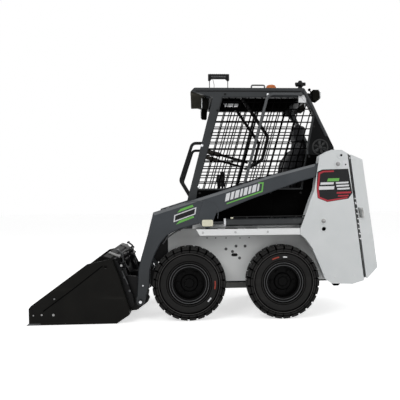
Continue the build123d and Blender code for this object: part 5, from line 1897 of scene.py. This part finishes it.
couplerTrim = {
    "cheek": ((700, 486), (684, 522), (664, 530), (650, 496), (640, 440), (644, 396), (664, 400)),
    "cheekY": (0.150, 0.160),
    "lever": ((694, 492), (704, 512), (780, 540), (788, 530), (716, 498)),
    "leverY": 0.340,
    "leverHalf": 0.018,
    "leverSheet": 0.008,
    "leverPins": ((780, 534, 0.007), (702, 502, 0.008)),
    "leverPinLength": 0.048,
    "bolts": ((604, 244), (646, 352)),
    "boltY": 0.474,
    "bolt": (0.010, 0.008),
    "edgeBar": ((664, 404), (618, 296)),
    "edgeBarY": 0.472,
    "fitting": (669, 445),
    "fittingY": 0.4745,
    "fittingSize": (0.010, 0.007),
    "welds": ((600, 148), (668, 366), (709, 478)),
    "weldY": (0.4605, 0.4695, 0.2105, 0.2195),
    "hook": ((668, 528), (648, 534), (640, 520)),
    "hookY": 0.155,
    "cross": (
        # x, z, y of the middle, radius, length, sides
        (672, 508, 0.190, 0.012, 0.240, 24),
        (660, 470, 0.190, 0.010, 0.240, 24),
        (545, 310, 0.041, 0.022, 0.008, 32),
    ),
}


def makeCoupler(sideName, side):
    inner, outer = couplerTrim["cheekY"]
    bm = bmesh.new()
    addPlate(bm, couplerTrim["cheek"], side * inner, side * outer, 0.0015)
    settle("couplerCheeks_" + sideName, bm, "coupler", "blackPaint")
    bm = bmesh.new()
    y, half, sheet = couplerTrim["leverY"], couplerTrim["leverHalf"], couplerTrim["leverSheet"]
    addPlate(bm, couplerTrim["lever"], side * (y - half), side * (y - half + sheet), 0.001)
    addPlate(bm, couplerTrim["lever"], side * (y + half - sheet), side * (y + half), 0.001)
    for x, z, radius in couplerTrim["leverPins"]:
        place = (x / 1000, side * y, z / 1000)
        addRound(bm, place, radius, couplerTrim["leverPinLength"], "Y", 20, rounding=0.0015)
    settle("leverPlates_" + sideName, bm, "coupler", "wornSteel")
    bm = bmesh.new()
    for place in atY(couplerTrim["bolts"], side * couplerTrim["boltY"]):
        addRound(bm, place, *couplerTrim["bolt"], "Y", 6, rounding=0.001)
    addPipe(bm, atY(couplerTrim["edgeBar"], side * couplerTrim["edgeBarY"]), 0.0045, 0.01)
    settle("couplerBolts_" + sideName, bm, "coupler", "darkSteel")
    bm = bmesh.new()
    for place in atY([couplerTrim["fitting"]], side * couplerTrim["fittingY"]):
        addRound(bm, place, *couplerTrim["fittingSize"], "Y", 24, rounding=0.003)
    settle("couplerFitting_" + sideName, bm, "coupler", "wornSteel")
    bm = bmesh.new()
    for y in couplerTrim["weldY"]:
        addBead(bm, couplerTrim["welds"], side * y, 0.003)
    addPipe(bm, atY(couplerTrim["hook"], side * couplerTrim["hookY"]), 0.006, 0.01)
    settle("couplerWelds_" + sideName, bm, "coupler", "blackPaint")


def makeCouplerTop():
    bm = bmesh.new()
    for side in (1, -1):
        for x, z, y, radius, length, sideCount in couplerTrim["cross"]:
            addRound(bm, (x / 1000, side * y, z / 1000), radius, length, "Y", sideCount, rounding=0.002)
    settle("couplerCross", bm, "coupler", "blackPaint")


pairUp(makeCoupler)
makeCouplerTop()

# bucket: doublers on the sides, edge bolts, back ribs, wear strips and top flange

bucket = {
    "half": 0.530,
    "doubler": ((1350, 150), (926, 464), (800, 484), (806, 452), (1262, 108), (1330, 100)),
    "doublerSink": 0.0005,
    "doublerOut": 0.001,
    "sideWelds": (((690, 374), (613, 134)), ((604, 66), (698, 4))),
    "seam": ((806, 452), (1030, 278), (1262, 108)),
    "seamOut": 0.0006,
    "seamRadius": 0.0036,
    "bolts": ((1336, 78, 0.0050), (1273, 81, 0.0070), (1184, 79, 0.0095), (1176, 203, 0.0065)),
    "washerOut": 0.0025,
    "headOut": 0.006,
    "boltDepth": 0.005,
    "headShare": 0.62,
    "backRibs": (-0.42, -0.28, 0.28, 0.42),
    "backRib": ((600, 130), (612, 126), (690, 378), (738, 500), (728, 502), (676, 382)),
    "backRibHalf": 0.004,
    "flange": ((738, 502), (744, 514), (800, 530), (806, 522), (756, 506)),
    "flangeHalf": 0.528,
    "wearStrips": (-0.36, 0.0, 0.36),
    "wearX": (0.720, 1.270),
    "wearHalf": 0.030,
    "wearZ": (0.0005, 0.0085),
    "edgeBolts": 9,
    "edgeBoltPitch": 0.120,
    "edgeBoltX": 1.310,
    "edgeBoltZ": 0.0150,
    "edgeBolt": (0.011, 0.004),
}


def makeBucketSide(sideName, side):
    face = side * bucket["half"]
    bm = bmesh.new()
    inner, outer = face - side * bucket["doublerSink"], face + side * bucket["doublerOut"]
    addPlate(bm, bucket["doubler"], inner, outer, 0.0008)
    settle("bucketDoubler_" + sideName, bm, "coupler", "bucketPaint")
    bm = bmesh.new()
    for points in bucket["sideWelds"]:
        addBead(bm, points, face - side * 0.001, 0.003)
    settle("bucketWelds_" + sideName, bm, "coupler", "bucketPaint")
    bm = bmesh.new()
    addBead(bm, bucket["seam"], face + side * bucket["seamOut"], bucket["seamRadius"])
    settle("bucketSeam_" + sideName, bm, "coupler", "panelBlack")
    bm = bmesh.new()
    for x, z, radius in bucket["bolts"]:
        washer = (x / 1000, face + side * bucket["washerOut"], z / 1000)
        head = (x / 1000, face + side * bucket["headOut"], z / 1000)
        addRound(bm, washer, radius, bucket["boltDepth"], sideCount=24, rounding=0.001)
        addRound(bm, head, radius * bucket["headShare"], bucket["boltDepth"], sideCount=6, rounding=0.0006)
    settle("bucketBolts_" + sideName, bm, "coupler", "wornSteel")


def makeBucketBack():
    half = bucket["backRibHalf"]
    bm = bmesh.new()
    for y in bucket["backRibs"]:
        addPlate(bm, bucket["backRib"], y - half, y + half, 0.0008)
    addPlate(bm, bucket["flange"], -bucket["flangeHalf"], bucket["flangeHalf"], 0.001)
    for y in bucket["wearStrips"]:
        addBar(bm, bucket["wearX"], y, bucket["wearHalf"], bucket["wearZ"], 0.002)
    settle("bucketBack", bm, "coupler", "bucketPaint")
    bm = bmesh.new()
    for k in range(bucket["edgeBolts"]):
        y = (k - (bucket["edgeBolts"] - 1) / 2) * bucket["edgeBoltPitch"]
        addRound(bm, (bucket["edgeBoltX"], y, bucket["edgeBoltZ"]), *bucket["edgeBolt"], "Z", 20, top=0.008)
    settle("edgeBolts", bm, "coupler", "wornSteel")


pairUp(makeBucketSide)
makeBucketBack()
print("coupler and bucket ready")

# chassis sides: bolt heads, plugs and slot rims; fenders: bolts and treads; tow feet and belly line

chassis = {
    "face": 0.310,
    "bolts": ((-175, 547), (-259, 570), (-335, 569), (-229, 525), (-288, 470)),
    "boltSize": (0.016, 0.007, 0.012),
    "plugs": ((-17, 641), (-176, 639), (-293, 637), (-90, 640), (-370, 640)),
    "plug": (0.0055, 0.0008),
    "slot": (-246, 497, 52, 26),  # middle x and z, length, height
    "slotRim": 0.0022,
    "seam": ((-470, 655), (-410, 655), (140, 655)),
    "seamRadius": 0.0018,
    "towFoot": ((-1050, 292), (-1058, 256), (-1076, 229), (-1115, 229), (-1143, 254), (-1150, 292)),
    "towFootY": (0.310, 0.345),
    "bellyIn": 0.004,
    "bellyHalf": 0.002,
    "bellyZ": (0.2485, 0.2595),
}


def makeChassisTrim(sideName, side):
    face = side * chassis["face"]
    bm = bmesh.new()
    addBolts(bm, chassis["bolts"], face, side, chassis["boltSize"])
    settle("chassisBolts_" + sideName, bm, "root", "boltGrey")
    bm = bmesh.new()
    radius, depth = chassis["plug"]
    for place in atY(chassis["plugs"], face + side * depth / 2):
        addRound(bm, place, radius, depth, sideCount=20)
    settle("chassisPlugs_" + sideName, bm, "root", "boltGrey")
    bm = bmesh.new()
    x, z, length, height = chassis["slot"]
    half, radius = (length - height) / 2, height / 2 + 2
    rim = []
    for angle in turns(12, math.tau / 24):
        end = x + half if math.cos(angle) > 0 else x - half
        rim.append(onCircle(end, z, radius, angle))
    addBead(bm, rim + rim[:1], face, chassis["slotRim"], bend=0.004)
    addBead(bm, chassis["seam"], face, chassis["seamRadius"])
    settle("slotRim_" + sideName, bm, "root", "palePaint")


fender = {
    "side": 0.505,
    "bolts": ((20, 702), (-240, 702), (-500, 702)),
    "boltSize": (0.012, 0.005, 0.009),
    "treads": (-0.05, -0.21, -0.37),
    "pad": (0.05, 0.4575, 0.0325, (0.7265, 0.7295)),  # half length, y, half width, Z
    "ribs": 5,
    "ribFrom": 0.433,
    "ribPitch": 0.013,
    "rib": (0.044, 0.002, (0.729, 0.7308)),
}


def makeFenderTrim(sideName, side):
    bm = bmesh.new()
    addBolts(bm, fender["bolts"], side * fender["side"], side, fender["boltSize"])
    settle("fenderBolts_" + sideName, bm, "root", "palePaint")
    bm = bmesh.new()
    padReach, padY, padHalf, padZ = fender["pad"]
    ribReach, ribHalf, ribZ = fender["rib"]
    for x in fender["treads"]:
        addBar(bm, (x - padReach, x + padReach), side * padY, padHalf, padZ, 0.001)
        for k in range(fender["ribs"]):
            y = side * (fender["ribFrom"] + fender["ribPitch"] * k)
            addBar(bm, (x - ribReach, x + ribReach), y, ribHalf, ribZ, 0.0006, 1)
    settle("fenderTreads_" + sideName, bm, "root", "rubber")


def makeTowFoot(sideName, side):
    inner, outer = chassis["towFootY"]
    bm = bmesh.new()
    addPlate(bm, chassis["towFoot"], side * inner, side * outer, 0.002)
    settle("towFoot_" + sideName, bm, "root", "panelBlack")


def makeBellyLine():
    low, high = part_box("belly_guard")
    spanX = (low.x + chassis["bellyIn"], high.x - chassis["bellyIn"])
    bm = bmesh.new()
    for edge in (high.y, low.y):
        addBar(bm, spanX, edge, chassis["bellyHalf"], chassis["bellyZ"], 0.0008, 1)
    settle("bellyLine", bm, "root", "panelBlack")


makeBellyLine()
pairUp(makeTowFoot)
pairUp(makeChassisTrim)
pairUp(makeFenderTrim)

# rear door: blank plate, handle, reflectors, lamp lenses with their guards, and latch

door = {
    "rear": -1.3935,
    "foot": 404,
    "slope": 118.5 / 873,
    "sink": 0.0005,
    "plate": (-0.130, 0.130, 470, 540),  # y from and to, z from and to
    "plateOut": 0.002,
    "plateInset": 0.012,
    "handle": (0.300, 700, 830),
    "handleOut": 0.034,
    "handleRadius": 0.007,
    "handleFoot": (0.016, 0.004),
    "reflectors": (0.408, 0.452, 560, 620),
    "reflectorOut": 0.005,
    "lamps": (0.400, 0.450, 1030, 1120),
    "lampOut": (0.0135, 0.017),
    "guards": (0.392, 0.458),
    "guardZ": ((1018, 1026), (1124, 1132)),
    "guardOut": (0.001, 0.015),
}


def doorX(z, out):
    return door["rear"] + (z - door["foot"]) * door["slope"] / 1000 - out


def addDoorPad(bm, yFrom, yTo, low, high, inner, outer, rounding):
    # flat pad on the leaning door between two heights in millimetres, rounded at yTo
    corners = ((low, inner), (high, inner), (high, outer), (low, outer))
    addPlate(bm, [(doorX(z, out) * 1000, z) for z, out in corners], yFrom, yTo, rounding)


def makeDoor():
    bm = bmesh.new()
    yFrom, yTo, low, high = door["plate"]
    out, inset = door["plateOut"], door["plateInset"]
    addDoorPad(bm, yFrom, yTo, low, high, -door["sink"], out, 0.0005)
    for y in (yFrom + inset, yTo - inset):
        for z in (low + 10, high - 10):
            addDome(bm, (doorX(z, out), y, z / 1000), 0.004, 0.004, "X")
    settle("doorPlate", bm, "rear_door", "stripeWhite")
    bm = bmesh.new()
    y, low, high = door["handle"]
    stops = ((low, -0.001), (low, door["handleOut"]), (high, door["handleOut"]), (high, -0.001))
    addPipe(bm, [(doorX(z, out), y, z / 1000) for z, out in stops], door["handleRadius"], 0.018, 16)
    radius, depth = door["handleFoot"]
    for z in (low, high):
        addRound(bm, (doorX(z, depth / 2), y, z / 1000), radius, depth, "X")
    settle("doorHandle", bm, "rear_door", "blackPlastic")
    bm = bmesh.new()
    for side in (1, -1):
        yFrom, yTo, low, high = door["reflectors"]
        addDoorPad(bm, side * yFrom, side * yTo, low, high, -door["sink"], door["reflectorOut"], 0.001)
        yFrom, yTo, low, high = door["lamps"]
        addDoorPad(bm, side * yFrom, side * yTo, low, high, *door["lampOut"], 0.0012)
    settle("doorReflectors", bm, "rear_door", "redLens")
    bm = bmesh.new()
    yFrom, yTo = door["guards"]
    for side in (1, -1):
        for low, high in door["guardZ"]:
            addDoorPad(bm, side * yFrom, side * yTo, low, high, *door["guardOut"], 0.001)
    settle("lampGuards", bm, "rear_door", "blackPlastic")


latch = {
    "plate": ((-1232, 900), (-1294, 896), (-1304, 800), (-1240, 796)),
    "plateY": (0.509, 0.5125),
    "lever": ((-1240, 880), (-1256, 880), (-1270, 806), (-1254, 806)),
    "leverY": (0.521, 0.529),
    "pivot": ((-1.2575, 0.525, 0.866), 0.009, 0.010),
    "stop": ((-1.241, 0.514, 0.884), 0.006, 0.006),
}


def makeLatch():
    bm = bmesh.new()
    addPlate(bm, latch["plate"], *latch["plateY"], 0.0015)
    settle("latchPlate", bm, "rear_door", "whitePaint")
    bm = bmesh.new()
    addPlate(bm, latch["lever"], *latch["leverY"], 0.002)
    addRound(bm, *latch["pivot"], "Y", 24, rounding=0.0015)
    addRound(bm, *latch["stop"], "Y", 16)
    settle("latchLever", bm, "rear_door", "latchGrey")


makeDoor()
makeLatch()
print("chassis and door ready")
